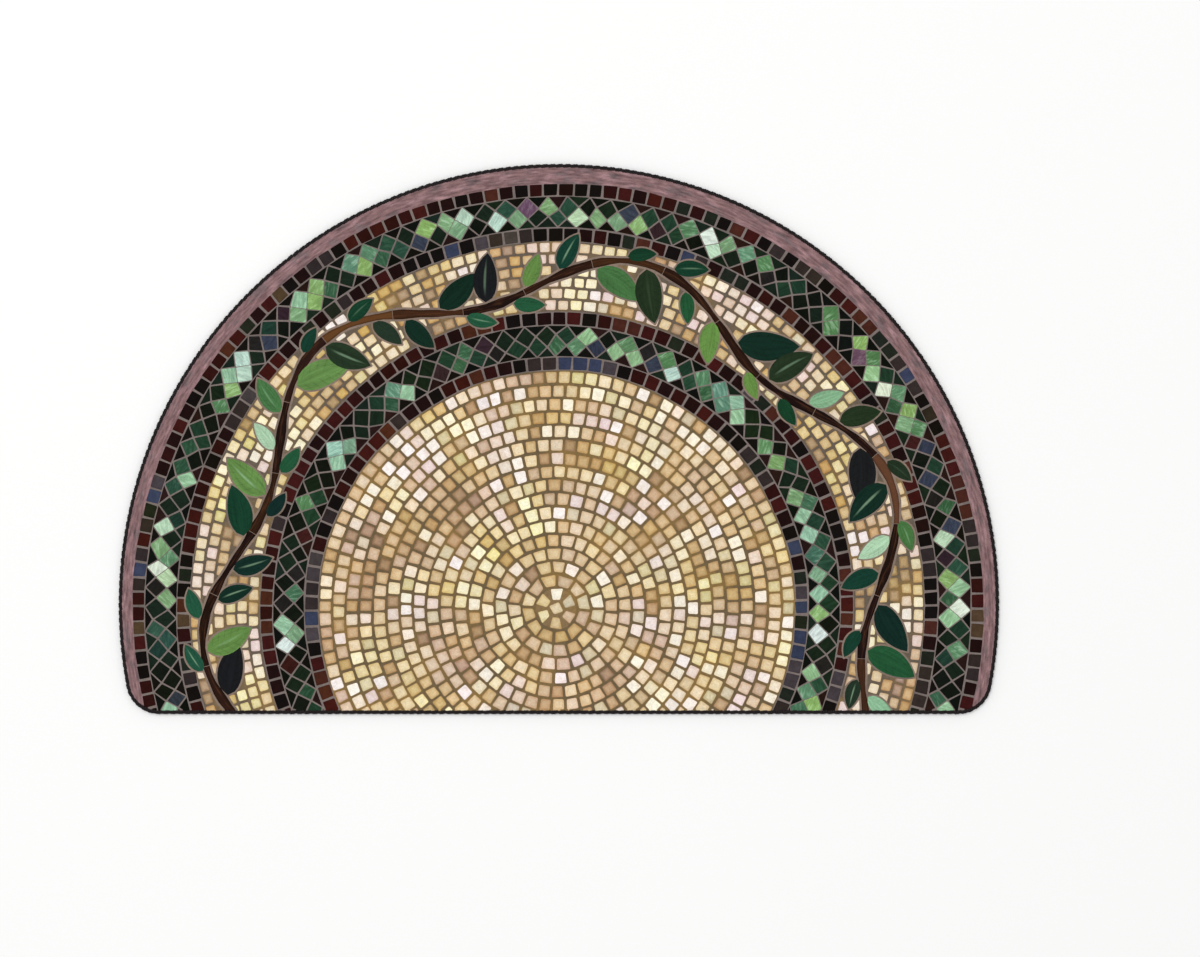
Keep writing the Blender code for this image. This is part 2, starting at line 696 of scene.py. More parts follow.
@dataclass(frozen=True)
class FloorFinish:
    """A pale, even studio floor."""

    name: str = "pale_floor"
    colour: Colour = (0.93, 0.93, 0.925)
    cloud_scale: float = 1.3
    cloud: float = 0.012
    roughness: float = 0.85
    specular: float = 0.1

    def make(self) -> bpy.types.Material:
        """The material: nearly white, with the faintest unevenness.

        Returns:
            The finished material.
        """
        shader = Shader(self.name)
        clouds = shader.clouds(shader.place(), self.cloud_scale, detail=3.0)
        shader.set(
            Base_Color=shader.lit(self.colour, 1 + (clouds - MIDDLE) * self.cloud),
            Roughness=self.roughness,
            Specular_IOR_Level=self.specular,
        )
        return shader.material


class Ink(Enum):
    """What a patch of the cloth shows, with its finish."""

    BORDER = BorderPrint("plum_border")
    GROUT = GroutPrint("dark_joints")
    LIGHT_GROUT = GroutPrint("pale_joints", sand=0.4, cloud_scale=30.0, warm=ink(96, 88, 84), warmth=0.6)
    STONE = StonePrint("pale_stones")
    ENAMEL = EnamelPrint("dark_squares")
    GLASS = GlassPrint("green_glass")
    STEM = StemPrint("vine_stem")
    LEAF = LeafPrint("vine_leaves")
    BACKING = BackingFinish("plain_underside")


class Layer(Enum):
    """The order in which patches cover each other, the last on top."""

    BORDER = 0
    OUTER_BAND = 1
    VINE_BAND = 2
    INNER_BAND = 3
    FIELD = 4
    PIECES = 5
    MARGINS = 6
    STEM = 7
    LEAVES = 8


@dataclass(frozen=True)
class Palette:
    """Colours in an order in which neighbours are alike, each with its share.

    Like colours come in clouds: a slow noise leans the pick to one end of the order, and a random
    scatter moves it on from there. The tint then strays a little, for each piece and in broad clouds.
    """

    shares: tuple[tuple[float, Colour], ...]
    cloud: float = 46.0  # the clouds' size
    lean: float = 0.30
    scatter: float = 0.22
    sway: float = 0.07  # how much lighter or darker than its entry a colour may be
    sheet: float = 0.0  # where in the noise this palette's clouds are read
    hue: float = 0.12
    hue_grain: float = 5.0
    broad_hue: float = 0.45
    hue_cloud: float = 46.0
    noise_spread: float = 0.25  # about how far the noise's values stray from 0
    green_part: float = 0.08  # of a stray, for green
    blue_limit: float = 0.97  # of green, for a blue that strays up
    channel_step: float = 31.7  # how far apart in the noise green and blue are read

    def pick(self, draw: random.Random, place: Point) -> Colour:
        """One colour.

        Args:
            draw: the source of random numbers.
            place: where its patch is.

        Returns:
            The colour, a little lighter or darker than its entry.
        """
        slow = noise.noise(Vector((place[0] / self.cloud, place[1] / self.cloud, self.sheet)))
        leaning = slow * self.lean / self.noise_spread + draw.gauss(0, self.scatter)
        spread = math.hypot(self.lean, self.scatter)
        level = 0.5 + 0.5 * math.erf(leaning / spread / math.sqrt(2))
        level *= sum(share for share, _ in self.shares)
        found = self.shares[-1][1]
        for share, colour in self.shares:
            if level < share:
                found = colour
                break
            level -= share
        return self.tinted(shaded(found, 1 + draw.uniform(-self.sway, self.sway)), place)

    def tinted(self, colour: Colour, place: Point) -> Colour:
        """A colour made a little warmer or cooler, piece by piece and in broad clouds.

        Args:
            colour: the colour.
            place: where its patch is.

        Returns:
            The tinted colour.
        """
        red, green, blue = colour
        green_stray, blue_stray = (
            self.hue * self.drift(place, self.hue_grain, channel)
            + self.broad_hue * self.drift(place, self.hue_cloud, channel)
            for channel in (1, 2)
        )
        most_blue = max(green * self.blue_limit, blue)
        strayed_green = green * (1 + green_stray * self.green_part)
        return red, min(strayed_green, 1.0), min(blue * (1 + blue_stray), most_blue)

    def drift(self, place: Point, size: float, channel: int) -> float:
        """A smooth value round 0 in clouds of a size, its own for each channel and alike at each run."""
        sheet = self.sheet + size + channel * self.channel_step
        return noise.noise(Vector((place[0] / size, place[1] / size, sheet)))


FIELD_STONES = Palette(
    (
        (0.14, ink(251, 242, 229)),
        (0.08, ink(240, 222, 205)),
        (0.10, ink(243, 229, 203)),
        (0.11, ink(236, 217, 183)),
        (0.15, ink(228, 206, 168)),
        (0.05, ink(220, 207, 169)),
        (0.14, ink(220, 193, 152)),
        (0.08, ink(213, 188, 158)),
        (0.08, ink(206, 176, 132)),
        (0.045, ink(197, 165, 125)),
        (0.02, ink(180, 151, 118)),
        (0.005, ink(168, 139, 106)),
    ),
    cloud=90.0,
    lean=0.08,
    scatter=0.3,
    sheet=13.7,
)
VINE_STONES = Palette(
    (
        (0.16, ink(247, 238, 223)),
        (0.14, ink(236, 217, 201)),
        (0.20, ink(238, 223, 194)),
        (0.07, ink(226, 214, 174)),
        (0.18, ink(226, 205, 168)),
        (0.12, ink(214, 189, 149)),
        (0.06, ink(210, 177, 124)),
        (0.02, ink(198, 162, 112)),
        (0.05, ink(184, 157, 126)),
    ),
    sheet=3.3,
    sway=0.05,
)
DARK_SQUARES = Palette(
    (
        (0.02, ink(56, 63, 86)),
        (0.02, ink(70, 63, 67)),
        (0.08, ink(50, 42, 42)),
        (0.09, ink(32, 37, 28)),
        (0.17, ink(18, 14, 12)),
        (0.17, ink(31, 14, 13)),
        (0.17, ink(46, 17, 15)),
        (0.15, ink(61, 22, 19)),
        (0.10, ink(73, 38, 28)),
        (0.01, ink(80, 62, 42)),
    ),
    cloud=60.0,
    lean=0.28,
    scatter=0.19,
    sway=0.12,
    sheet=7.1,
)
PALE_GLASS = Palette(
    (
        (0.04, ink(218, 230, 218)),
        (0.11, ink(182, 211, 188)),
        (0.17, ink(146, 188, 150)),
        (0.18, ink(124, 162, 120)),
        (0.10, ink(136, 173, 102)),
        (0.17, ink(97, 140, 110)),
        (0.12, ink(86, 129, 85)),
        (0.08, ink(70, 110, 84)),
        (0.02, ink(104, 76, 100)),
    ),
    cloud=30.0,
    lean=0.1,
    sheet=11.9,
    hue_cloud=90.0,
)
DEEP_GLASS = Palette(
    (
        (0.06, ink(56, 93, 67)),
        (0.10, ink(42, 75, 57)),
        (0.15, ink(31, 57, 43)),
        (0.26, ink(23, 36, 25)),
        (0.22, ink(16, 21, 14)),
        (0.10, ink(34, 32, 31)),
        (0.05, ink(52, 58, 74)),
        (0.04, ink(50, 34, 42)),
        (0.02, ink(58, 26, 24)),
    ),
    cloud=30.0,
    lean=0.12,
    scatter=0.28,
    sway=0.15,
    sheet=5.7,
    hue_cloud=90.0,
)
FILLERS = Palette(
    (
        (0.32, ink(13, 17, 12)),
        (0.28, ink(18, 15, 11)),
        (0.26, ink(23, 36, 26)),
        (0.14, ink(38, 22, 19)),
    ),
    sway=0.15,
    sheet=2.2,
)
LEAVES = Palette(
    (
        (0.03, ink(174, 210, 178)),
        (0.04, ink(138, 184, 138)),
        (0.13, ink(101, 139, 72)),
        (0.11, ink(70, 113, 64)),
        (0.17, ink(36, 86, 60)),
        (0.20, ink(22, 61, 46)),
        (0.18, ink(18, 44, 36)),
        (0.09, ink(36, 52, 36)),
        (0.05, ink(27, 28, 31)),
    ),
    cloud=12.0,
    lean=0.05,
    scatter=0.3,
    sheet=9.4,
)
STEMS = Palette(
    (
        (0.40, ink(30, 17, 14)),
        (0.30, ink(42, 24, 17)),
        (0.18, ink(60, 36, 24)),
        (0.12, ink(92, 60, 38)),
    ),
    sway=0.1,
    sheet=1.2,
)
BORDER_PLUM = ink(136, 106, 107)
FIELD_GROUT = ink(112, 95, 70)
CENTRE_GROUT = ink(136, 113, 82)
VINE_GROUT = ink(105, 93, 81)
BAND_GROUT = ink(128, 116, 111)
MARGIN_GROUT = ink(141, 122, 109)
UNDERSIDE = ink(104, 98, 92)


@dataclass(frozen=True)
class MatOutline:
    """The mat's outline in millimetres: a circle cut off straight below its centre, its corners rounded."""

    width: float
    depth: float
    corner_radius: float = 38.0
    round_steps: int = 220
    corner_steps: int = 16

    @property
    def radius(self) -> float:
        """The circle's radius."""
        return self.width / 2

    @property
    def centre_y(self) -> float:
        """The height of the circle's centre."""
        return self.depth / 2 - self.radius

    @property
    def straight_y(self) -> float:
        """The height of the straight edge."""
        return -self.depth / 2

    @property
    def tuck(self) -> float:
        """The angle below level at which the round side meets a corner."""
        drop = self.centre_y - self.straight_y - self.corner_radius
        return math.asin(drop / (self.radius - self.corner_radius))

    @property
    def corner(self) -> Point:
        """The centre of the right corner."""
        reach = (self.radius - self.corner_radius) * math.cos(self.tuck)
        return reach, self.straight_y + self.corner_radius

    def points(self, inset: float) -> list[Point]:
        """The outline drawn in by an inset, counter-clockwise from the right end of the straight edge.

        Args:
            inset: how far it is drawn in.

        Returns:
            Its points.
        """
        corner_x, corner_y = self.corner
        right, left = -self.tuck, math.pi + self.tuck
        arcs = (
            (corner_x, corner_y, self.corner_radius, -math.pi / 2, right, self.corner_steps),
            (0.0, self.centre_y, self.radius, right, left, self.round_steps),
            (-corner_x, corner_y, self.corner_radius, left, 1.5 * math.pi, self.corner_steps),
        )
        found: list[Point] = []
        for x, y, radius, start, end, steps in arcs:
            reach = radius - inset
            for step in range(bool(found), steps + 1):
                angle = start + (end - start) * step / steps
                found.append((x + reach * math.cos(angle), y + reach * math.sin(angle)))
        return found

    def outward(self, point: Point) -> Point:
        """The direction straight out of the mat at a point near its rim.

        Args:
            point: the point, in millimetres.

        Returns:
            The direction, of length 1.
        """
        corner_x, corner_y = self.corner
        x, y = abs(point[0]), point[1]
        below = math.atan2(y - self.centre_y, x) < -self.tuck
        if below and x <= corner_x:
            return 0.0, -1.0
        out = (x - corner_x, y - corner_y) if below else (x, y - self.centre_y)
        length = math.hypot(*out)
        return math.copysign(out[0] / length, point[0]), out[1] / length


def area_of(points: Sequence[Point]) -> float:
    """The area inside a polygon, positive where it runs counter-clockwise."""
    pairs = zip(points, [*points[1:], points[0]])
    return sum(a[0] * b[1] - b[0] * a[1] for a, b in pairs) / 2


def arc(middle: Point, size: Point, steps: int, below: bool = False) -> list[Point]:
    """A quarter of an ellipse, as insets and heights.

    Args:
        middle: the ellipse's middle.
        size: how far it reaches out and up from there.
        steps: how many steps it has.
        below: from the outermost place down to the lowest. Otherwise it is from the highest out to there.

    Returns:
        Its points.
    """
    found = []
    for step in range(steps + 1):
        angle = math.pi / 2 * step / steps
        out, up = (math.cos(angle), -math.sin(angle)) if below else (math.sin(angle), math.cos(angle))
        found.append((middle[0] - size[0] * out, middle[1] + size[1] * up))
    return found


def rounded(points: Sequence[Point], cut: float) -> list[Point]:
    """A polygon whose corners are rounded with three points each, from a length before to one after.

    Args:
        points: the polygon's corners.
        cut: that length.

    Returns:
        The rounded polygon's points.
    """
    found: list[Point] = []
    for before, corner, after in zip([points[-1], *points[:-1]], points, [*points[1:], points[0]]):
        shares = [min(cut / math.dist(corner, other), MOST_CUT) for other in (before, after)]
        start, end = (
            tuple(c + (o - c) * share for c, o in zip(corner, other))
            for other, share in zip((before, after), shares)
        )
        found += [start, tuple((s + 2 * c + e) / 4 for s, c, e in zip(start, corner, end)), end]
    return found


@dataclass(frozen=True)
class PrintCentre:
    """The point that the print's rings go round, and how far hand-laid rings stray from true circles."""

    x: float
    y: float
    drift: float = 1.9  # how far to the right the outermost ring lies
    drift_power: int = 4
    edge: float = 480.0
    sway: float = 1.8
    sway_turn: float = 3.0  # the more, the oftener a ring sways on its way round
    sway_reach: float = 55.0  # the more, the further apart rings sway alike
    measured_at: float = 40.0  # how many centimetres out a length along the rings is true

    def stray(self, angle: float, radius: float) -> Point:
        """How far a ring is off its circle at an angle: to the right, and outwards.

        Args:
            angle: the angle.
            radius: the ring's radius.

        Returns:
            The two distances.
        """
        x, y = self.sway_turn * math.sin(angle), self.sway_turn * math.cos(angle)
        slow = noise.noise(Vector((x, y, radius / self.sway_reach)))
        return self.drift * (radius / self.edge) ** self.drift_power, self.sway * slow

    def at(self, angle: float, radius: float) -> Point:
        """The point at an angle and a radius.

        Args:
            angle: the angle.
            radius: its ring's radius.

        Returns:
            The point, strayed with its ring.
        """
        right, out = self.stray(angle, radius)
        reach = radius + out
        return self.x + right + reach * math.sin(angle), self.y + reach * math.cos(angle)

    def polar(self, point: Point) -> Point:
        """The angle and the radius of a point, as `at` takes them.

        Args:
            point: the point, in millimetres.

        Returns:
            The angle and the radius, without its ring's stray.
        """
        x, y = point[0] - self.x, point[1] - self.y
        right, out = self.stray(math.atan2(x, y), math.hypot(x, y))
        return math.atan2(x - right, y), math.hypot(x - right, y) - out

    def rim_grain(self, point: Point) -> Point:
        """A point's place along and across the rings, in centimetres."""
        angle, radius = self.polar(point)
        return angle * self.measured_at, radius / CM


@dataclass(frozen=True)
class Grain:
    """A small piece's own coordinates, from -1 to 1 along and across it."""

    centre: Point
    along: Point
    half_length: float
    half_width: float

    def __call__(self, point: Point) -> Point:
        """A point in the piece's own coordinates.

        Args:
            point: the point, in millimetres.

        Returns:
            Its place along and across the piece.
        """
        x, y = point[0] - self.centre[0], point[1] - self.centre[1]
        lengthwise = x * self.along[0] + y * self.along[1]
        sideways = y * self.along[0] - x * self.along[1]
        return lengthwise / self.half_length, sideways / self.half_width

    @classmethod
    def of(cls, corners: Sequence[Point]) -> "Grain":
        """The coordinates of a four-sided piece.

        Args:
            corners: its corners, in order round it.

        Returns:
            The coordinates.
        """
        centre = (sum(x for x, _ in corners) / 4, sum(y for _, y in corners) / 4)
        start = [(a + b) / 2 for a, b in zip(corners[3], corners[0])]
        end = [(a + b) / 2 for a, b in zip(corners[1], corners[2])]
        length = math.dist(start, end)
        width = math.dist(corners[0], corners[3])
        along = ((end[0] - start[0]) / length, (end[1] - start[1]) / length)
        return cls(centre, along, length / 2, width / 2)


@dataclass
class Patch:
    """One flat piece of the print."""

    points: list[Point]
    ink: Ink
    layer: Layer
    colour: Colour
    grain: Callable[[Point], Point]
    seed: float = 0.0
    spine: list[Point] = field(default_factory=list)

    def __post_init__(self) -> None:
        """Turns the points counter-clockwise."""
        if area_of(self.points) < 0:
            self.points.reverse()


@dataclass(frozen=True)
class Disc:
    """The ground of a band: a disc in the colour of its joints, which the next disc covers in part."""

    centre: PrintCentre
    radius: float
    ink: Ink
    layer: Layer
    colour: Colour
    steps: int = 200

    def patches(self) -> Iterator[Patch]:
        """The disc."""
        points = [self.centre.at(TURN * step / self.steps, self.radius) for step in range(self.steps)]
        yield Patch(points, self.ink, self.layer, self.colour, self.centre.rim_grain)


def tile(draw: random.Random, corners: Sequence[Point], cut: float, kind: Ink, palette: Palette) -> Patch:
    """One four-sided piece of the print.

    Args:
        draw: the source of random numbers.
        corners: its corners.
        cut: how far from them they are rounded.
        kind: its ink.
        palette: what its colour is picked from.

    Returns:
        The piece's patch.
    """
    grain = Grain.of(corners)
    colour = palette.pick(draw, grain.centre)
    return Patch(rounded(corners, cut), kind, Layer.PIECES, colour, grain, draw.random())


@dataclass(frozen=True)
class StoneRings:
    """Rings of squares, none quite like the next."""

    centre: PrintCentre
    inner: float
    outer: float
    rings: int
    pitch: float
    side_gap: float
    ring_gap: float
    ink: Ink
    palette: Palette
    seed: int
    unevenness: float = 0.08
    shake: float = 0.32
    corner_cut: float = 1.6
    foot: float = 2.3  # how far out from a ring's inner side its squares are counted
    flare: float = 1.5  # how many times its inner side a square's outer side may be

    def patches(self) -> Iterator[Patch]:
        """The squares, ring by ring, all the way round.

        Returns:
            Their patches.
        """
        draw = random.Random(self.seed)
        step = (self.outer - self.inner) / self.rings
        for ring in range(self.rings):
            low = self.inner + ring * step + self.ring_gap / 2
            high = self.inner + (ring + 1) * step - self.ring_gap / 2
            count = round(TURN * (low + self.foot) / self.pitch)
            widths = [1 + draw.uniform(-self.unevenness, self.unevenness) for _ in range(count)]
            start = draw.uniform(0, TURN)
            for width in widths:
                end = start + width * TURN / sum(widths)
                yield self.square(draw, start, end, low, high)
                start = end

    def square(self, draw: random.Random, start: float, end: float, low: float, high: float) -> Patch:
        """One square.

        Args:
            draw: the source of random numbers.
            start: the angle at which its share of the ring starts.
            end: the angle at which that ends.
            low: its inner radius.
            high: its outer radius.

        Returns:
            The square's patch.
        """
        corners = []
        for angle, way, radius in ((start, 1, low), (end, -1, low), (end, -1, high), (start, 1, high)):
            spare = (end - start) * max(0.0, 1 - self.flare * low / radius)
            x, y = self.centre.at(angle + way * (self.side_gap / radius + spare) / 2, radius)
            corners.append((x + draw.gauss(0, self.shake), y + draw.gauss(0, self.shake)))
        return tile(draw, corners, self.corner_cut, self.ink, self.palette)


@dataclass(frozen=True)
class CentreStone:
    """The single square that the rings go round."""

    centre: PrintCentre
    reach: float
    turn: float = 0.35
    shake: float = 0.5
    corner_cut: float = 1.8
    seed: int = 3

    def patches(self) -> Iterator[Patch]:
        """The square.

        Returns:
            Its patch.
        """
        draw = random.Random(self.seed)
        corners = []
        for side in range(4):
            angle = self.turn + TURN * side / 4
            corners.append(self.centre.at(angle, self.reach + draw.gauss(0, self.shake)))
        yield tile(draw, corners, self.corner_cut, Ink.STONE, FIELD_STONES)


@dataclass(frozen=True)
class DiamondBand:
    """Two rows of diamonds that interlock, with half diamonds along both sides of the band."""

    centre: PrintCentre
    inner: float
    outer: float
    pitch: float
    pale_share: float
    seed: int
    gap: float = 1.8
    pale_gap: float = 0.45  # of the gap, round a pale diamond
    filler_gap: float = 1.1  # of the gap, round a half diamond
    pull: float = 0.7  # how far a corner is drawn in, for each millimetre of its gap
    most_pull: float = 0.4  # of the way to the middle
    corner_cut: float = 1.0
    shake: float = 1.0
    side_shake: float = 0.3  # of the shake, on the outermost and innermost circles
    run_length: float = 40.0
    run_strength: float = 0.75
    band_step: float = 1.7  # how far apart in the noise bands are read whose seeds differ by 1
    row_step: float = 0.35  # how far apart the two rows of a band are

    def patches(self) -> Iterator[Patch]:
        """The diamonds and the half diamonds, all the way round.

        Returns:
            Their patches.
        """
        draw = random.Random(self.seed)
        count = round(TURN * (self.inner + self.outer) / 2 / self.pitch)
        rings = [self.corners(draw, level, count) for level in range(4)]
        for index in range(count):
            for level in (0, 1):
                low, middle, high = rings[level : level + 3]
                sides = middle[(index + level) % count], middle[index + level - 1]
                yield self.diamond(draw, [low[index], sides[0], high[index], sides[1]], level)
            yield self.filler(draw, [rings[0][index - 1], rings[0][index], rings[1][index - 1]])
            yield self.filler(draw, [rings[3][index - 1], rings[3][index], rings[2][index]])

    def corners(self, draw: random.Random, level: int, count: int) -> list[Point]:
        """The lattice's corners on one of its four circles, each a little off its even place.

        Args:
            draw: the source of random numbers.
            level: the circle's number, from the inside.
            count: how many corners it has.

        Returns:
            The corners.
        """
        radius = self.inner + (self.outer - self.inner) * level / 3
        shake = self.shake * (1.0 if level in (1, 2) else self.side_shake)
        found = []
        for index in range(count):
            angle = TURN * (index + level % 2 / 2) / count + draw.gauss(0, self.shake) / radius
            found.append(self.centre.at(angle, radius + draw.gauss(0, shake)))
        return found

    def diamond(self, draw: random.Random, corners: list[Point], row: int) -> Patch:
        """One diamond. Pale ones come in runs along the band and are set closer than dark ones.

        Args:
            draw: the source of random numbers.
            corners: its corners, the innermost first.
            row: 0 for the inner row, 1 for the outer.

        Returns:
            Its patch.
        """
        angle, radius = self.centre.polar(corners[0])
        place = (angle * radius / self.run_length, self.seed * self.band_step, row * self.row_step)
        pale = draw.random() < self.pale_share + noise.noise(Vector(place)) * self.run_strength
        palette = PALE_GLASS if pale else DEEP_GLASS
        corners = self.drawn_in(corners, self.pale_gap if pale else 1.0)
        return tile(draw, corners, self.corner_cut, Ink.GLASS, palette)

    def filler(self, draw: random.Random, corners: list[Point]) -> Patch:
        """One half diamond.

        Args:
            draw: the source of random numbers.
            corners: its three corners.

        Returns:
            Its patch.
        """
        corners = self.drawn_in(corners, self.filler_gap)
        grain = Grain.of([*corners, corners[2]])
        colour = FILLERS.pick(draw, grain.centre)
        return Patch(corners, Ink.ENAMEL, Layer.PIECES, colour, grain, draw.random())

    def drawn_in(self, corners: Sequence[Point], share: float) -> list[Point]:
        """A piece's corners drawn towards its middle by its share of the gap.

        Args:
            corners: the corners.
            share: the piece's share.

        Returns:
            The new corners.
        """
        middle = [sum(values) / len(corners) for values in zip(*corners)]
        found = []
        for corner in corners:
            kept = 1 - min(self.gap * self.pull * share / math.dist(corner, middle), self.most_pull)
            found.append(tuple(m + (c - m) * kept for c, m in zip(corner, middle)))
        return found


@dataclass(frozen=True)
class Sprig:
    """One leaf of each half wave of the vine."""

    place: float  # along the half wave, from 0 to 1
    hollow: bool  # on the side that the stem bends round
    length: float
    width: float
    spread: float  # degrees away from the stem
    bend: float


@dataclass(frozen=True)
class Leaf:
    """A pointed leaf, from its base along a direction."""

    base: Point
    along: Point
    length: float
    width: float
    bend: float
    base_power: float = 0.62
    tip_power: float = 0.85
    fullness: float = 2.72  # brings the widest place to the full width
    blunt: float = 0.35  # of a margin, at the base and the tip
    least_width: float = 0.6  # the half width that the leaf's grain never goes below
    steps: int = 11

    def half_width(self, share: float) -> float:
        """Half the leaf's width at a share of its length."""
        share = min(max(share, 0.0), 1.0)
        return self.width / 2 * self.fullness * share**self.base_power * (1 - share) ** self.tip_power

    def bow(self, share: float) -> float:
        """How far the midrib bows to the side at a share of the length."""
        return self.bend * self.length * share * (1 - share)

    def point(self, share: float, side: float) -> Point:
        """The point at a share of the length and a distance to the side of the midrib.

        Args:
            share: the share of the length.
            side: the distance to the left.

        Returns:
            The point.
        """
        forward, aside = share * self.length, self.bow(share) + side
        x, y = self.along
        return self.base[0] + x * forward - y * aside, self.base[1] + y * forward + x * aside

    def outline(self, margin: float) -> list[Point]:
        """The leaf's outline, with a margin round it.

        Args:
            margin: how far out from the leaf's own edge it lies.

        Returns:
            Its points.
        """
        extra = margin / self.length
        left, right = [], []
        for step in range(self.steps + 1):
            share = -extra + (1 + 2 * extra) * step / self.steps
            wide = self.half_width(share) + margin * (self.blunt if step in (0, self.steps) else 1.0)
            left.append(self.point(share, wide))
            right.append(self.point(share, -wide))
        return left + right[::-1] if margin else left + right[-2:0:-1]

    def midrib(self) -> list[Point]:
        """Points along the midrib."""
        return [self.point(step / self.steps, 0.0) for step in range(1, self.steps)]

    def grain(self, point: Point) -> Point:
        """A point as a share of the length and, from -1 to 1, a share of the half width.

        Args:
            point: the point, in millimetres.

        Returns:
            The two shares.
        """
        x, y = point[0] - self.base[0], point[1] - self.base[1]
        share = (x * self.along[0] + y * self.along[1]) / self.length
        aside = y * self.along[0] - x * self.along[1] - self.bow(share)
        return share, min(max(aside / max(self.half_width(share), self.least_width), -1.0), 1.0)


@dataclass(frozen=True)
class RunningVine:
    """A running scroll: an even wave along the middle of its band, its leaves alike on each half wave."""

    centre: PrintCentre
    middle: float = 373.0
    swing: float = 27.0
    half_waves: int = 8
    span: float = math.radians(222)
    stem_width: float = 8.2
    swell: Point = (0.24, 23.0)  # a share of the width, and how often it comes in a turn
    knots: Point = (0.14, 61.0)
    stem_margin: float = 2.4
    leaf_margin: float = 2.0
    stalk: float = 1.8
    stretch: float = 76.0
    joint: float = 0.5
    step_length: float = 9.0
    spine_steps: int = 8
    place_shake: float = 0.006
    spread_shake: float = 4.0  # degrees
    size_shake: float = 0.06
    seed: int = 17
    sprigs: tuple[Sprig, ...] = (
        Sprig(0.03, False, 47.0, 22.0, 40.0, 0.10),
        Sprig(0.22, True, 62.0, 29.0, 48.0, -0.14),
        Sprig(0.40, False, 33.0, 15.0, 16.0, 0.12),
        Sprig(0.52, True, 56.0, 27.0, 68.0, 0.12),
        Sprig(0.70, False, 36.0, 17.0, 27.0, 0.10),
        Sprig(0.82, True, 40.0, 18.0, 44.0, -0.10),
    )

    def radius(self, angle: float) -> float:
        """The stem's radius at an angle."""
        return self.middle + self.swing * math.sin(math.pi * self.half_waves * (angle / self.span + 0.5))

    def stem(self, angle: float, side: float = 0.0) -> Point:
        """The point of the stem at an angle, moved outwards by a distance.

        Args:
            angle: the angle.
            side: the distance.

        Returns:
            The point.
        """
        x, y = self.direction(angle)
        centre = self.centre.at(angle, self.radius(angle))
        return centre[0] - y * side, centre[1] + x * side

    def direction(self, angle: float) -> Point:
        """The way that the stem grows at an angle, clockwise.

        Args:
            angle: the angle.

        Returns:
            The direction, of length 1.
        """
        small = 1e-3
        start, end = (self.centre.at(at, self.radius(at)) for at in (angle - small, angle + small))
        length = math.dist(start, end)
        return (end[0] - start[0]) / length, (end[1] - start[1]) / length

    def thickness(self, angle: float) -> float:
        """The stem's width at an angle, which swells and narrows."""
        (swell, waves), (knot, knots) = self.swell, self.knots
        return self.stem_width * (1 + swell * math.sin(angle * waves) + knot * math.sin(angle * knots))

    def ribbon(self, start: float, end: float, margin: float) -> list[Point]:
        """The stem's outline between two angles, with a margin on both sides.

        Args:
            start: the first angle.
            end: the last one.
            margin: how wide the margin is.

        Returns:
            The outline's points.
        """
        steps = max(2, round((end - start) * self.middle / self.step_length))
        angles = [start + (end - start) * step / steps for step in range(steps + 1)]
        outer = [self.stem(angle, self.thickness(angle) / 2 + margin) for angle in angles]
        inner = [self.stem(angle, -self.thickness(angle) / 2 - margin) for angle in angles]
        return outer + inner[::-1]

    def stem_grain(self, point: Point) -> Point:
        """A point along the stem, in centimetres, and across it, from -1 to 1.

        Args:
            point: the point, in millimetres.

        Returns:
            Its two coordinates.
        """
        angle, radius = self.centre.polar(point)
        aside = (radius - self.radius(angle)) / (self.thickness(angle) / 2)
        return angle * self.middle / CM, min(max(aside, -1.0), 1.0)

    def leaf(self, draw: random.Random, wave: int, sprig: Sprig) -> Leaf:
        """A leaf of one half wave.

        Args:
            draw: the source of random numbers.
            wave: the half wave's number.
            sprig: the leaf's place and size.

        Returns:
            The leaf, a little off its even place and size.
        """
        angle = ((wave + sprig.place) / self.half_waves - 0.5) * self.span + draw.gauss(0, self.place_shake)
        side = (1 if wave % 2 else -1) * (1 if sprig.hollow else -1)
        spread = math.radians(sprig.spread + draw.gauss(0, self.spread_shake)) * side
        x, y = self.direction(angle)
        along = (x * math.cos(spread) - y * math.sin(spread), x * math.sin(spread) + y * math.cos(spread))
        base = self.stem(angle, side * (self.thickness(angle) / 2 + self.stalk))
        size = 1 + draw.gauss(0, self.size_shake)
        return Leaf(base, along, sprig.length * size, sprig.width * size, sprig.bend * side)

    def patches(self) -> Iterator[Patch]:
        """The stem's stretches, the leaves and the joints round them.

        Returns:
            Their patches.
        """
        draw = random.Random(self.seed)
        half = self.span / 2
        whole = self.ribbon(-half, half, self.stem_margin)
        yield Patch(whole, Ink.LIGHT_GROUT, Layer.MARGINS, MARGIN_GROUT, self.centre.rim_grain)
        count = round(self.span * self.middle / self.stretch)
        joint = self.joint / 2 / self.middle
        for index in range(count):
            start, end = ((index + side) / count * self.span - half for side in (0, 1))
            outline = self.ribbon(start + joint, end - joint, 0.0)
            inner = range(1, self.spine_steps)
            spine = [self.stem(start + (end - start) * step / self.spine_steps) for step in inner]
            colour = STEMS.pick(draw, outline[0])
            yield Patch(outline, Ink.STEM, Layer.STEM, colour, self.stem_grain, draw.random(), spine)
        for wave in range(self.half_waves):
            for sprig in self.sprigs:
                leaf = self.leaf(draw, wave, sprig)
                around = leaf.outline(self.leaf_margin)
                yield Patch(around, Ink.LIGHT_GROUT, Layer.MARGINS, MARGIN_GROUT, self.centre.rim_grain)
                colour = LEAVES.pick(draw, leaf.base)
                outline, midrib = leaf.outline(0.0), leaf.midrib()
                yield Patch(outline, Ink.LEAF, Layer.LEAVES, colour, leaf.grain, draw.random(), midrib)


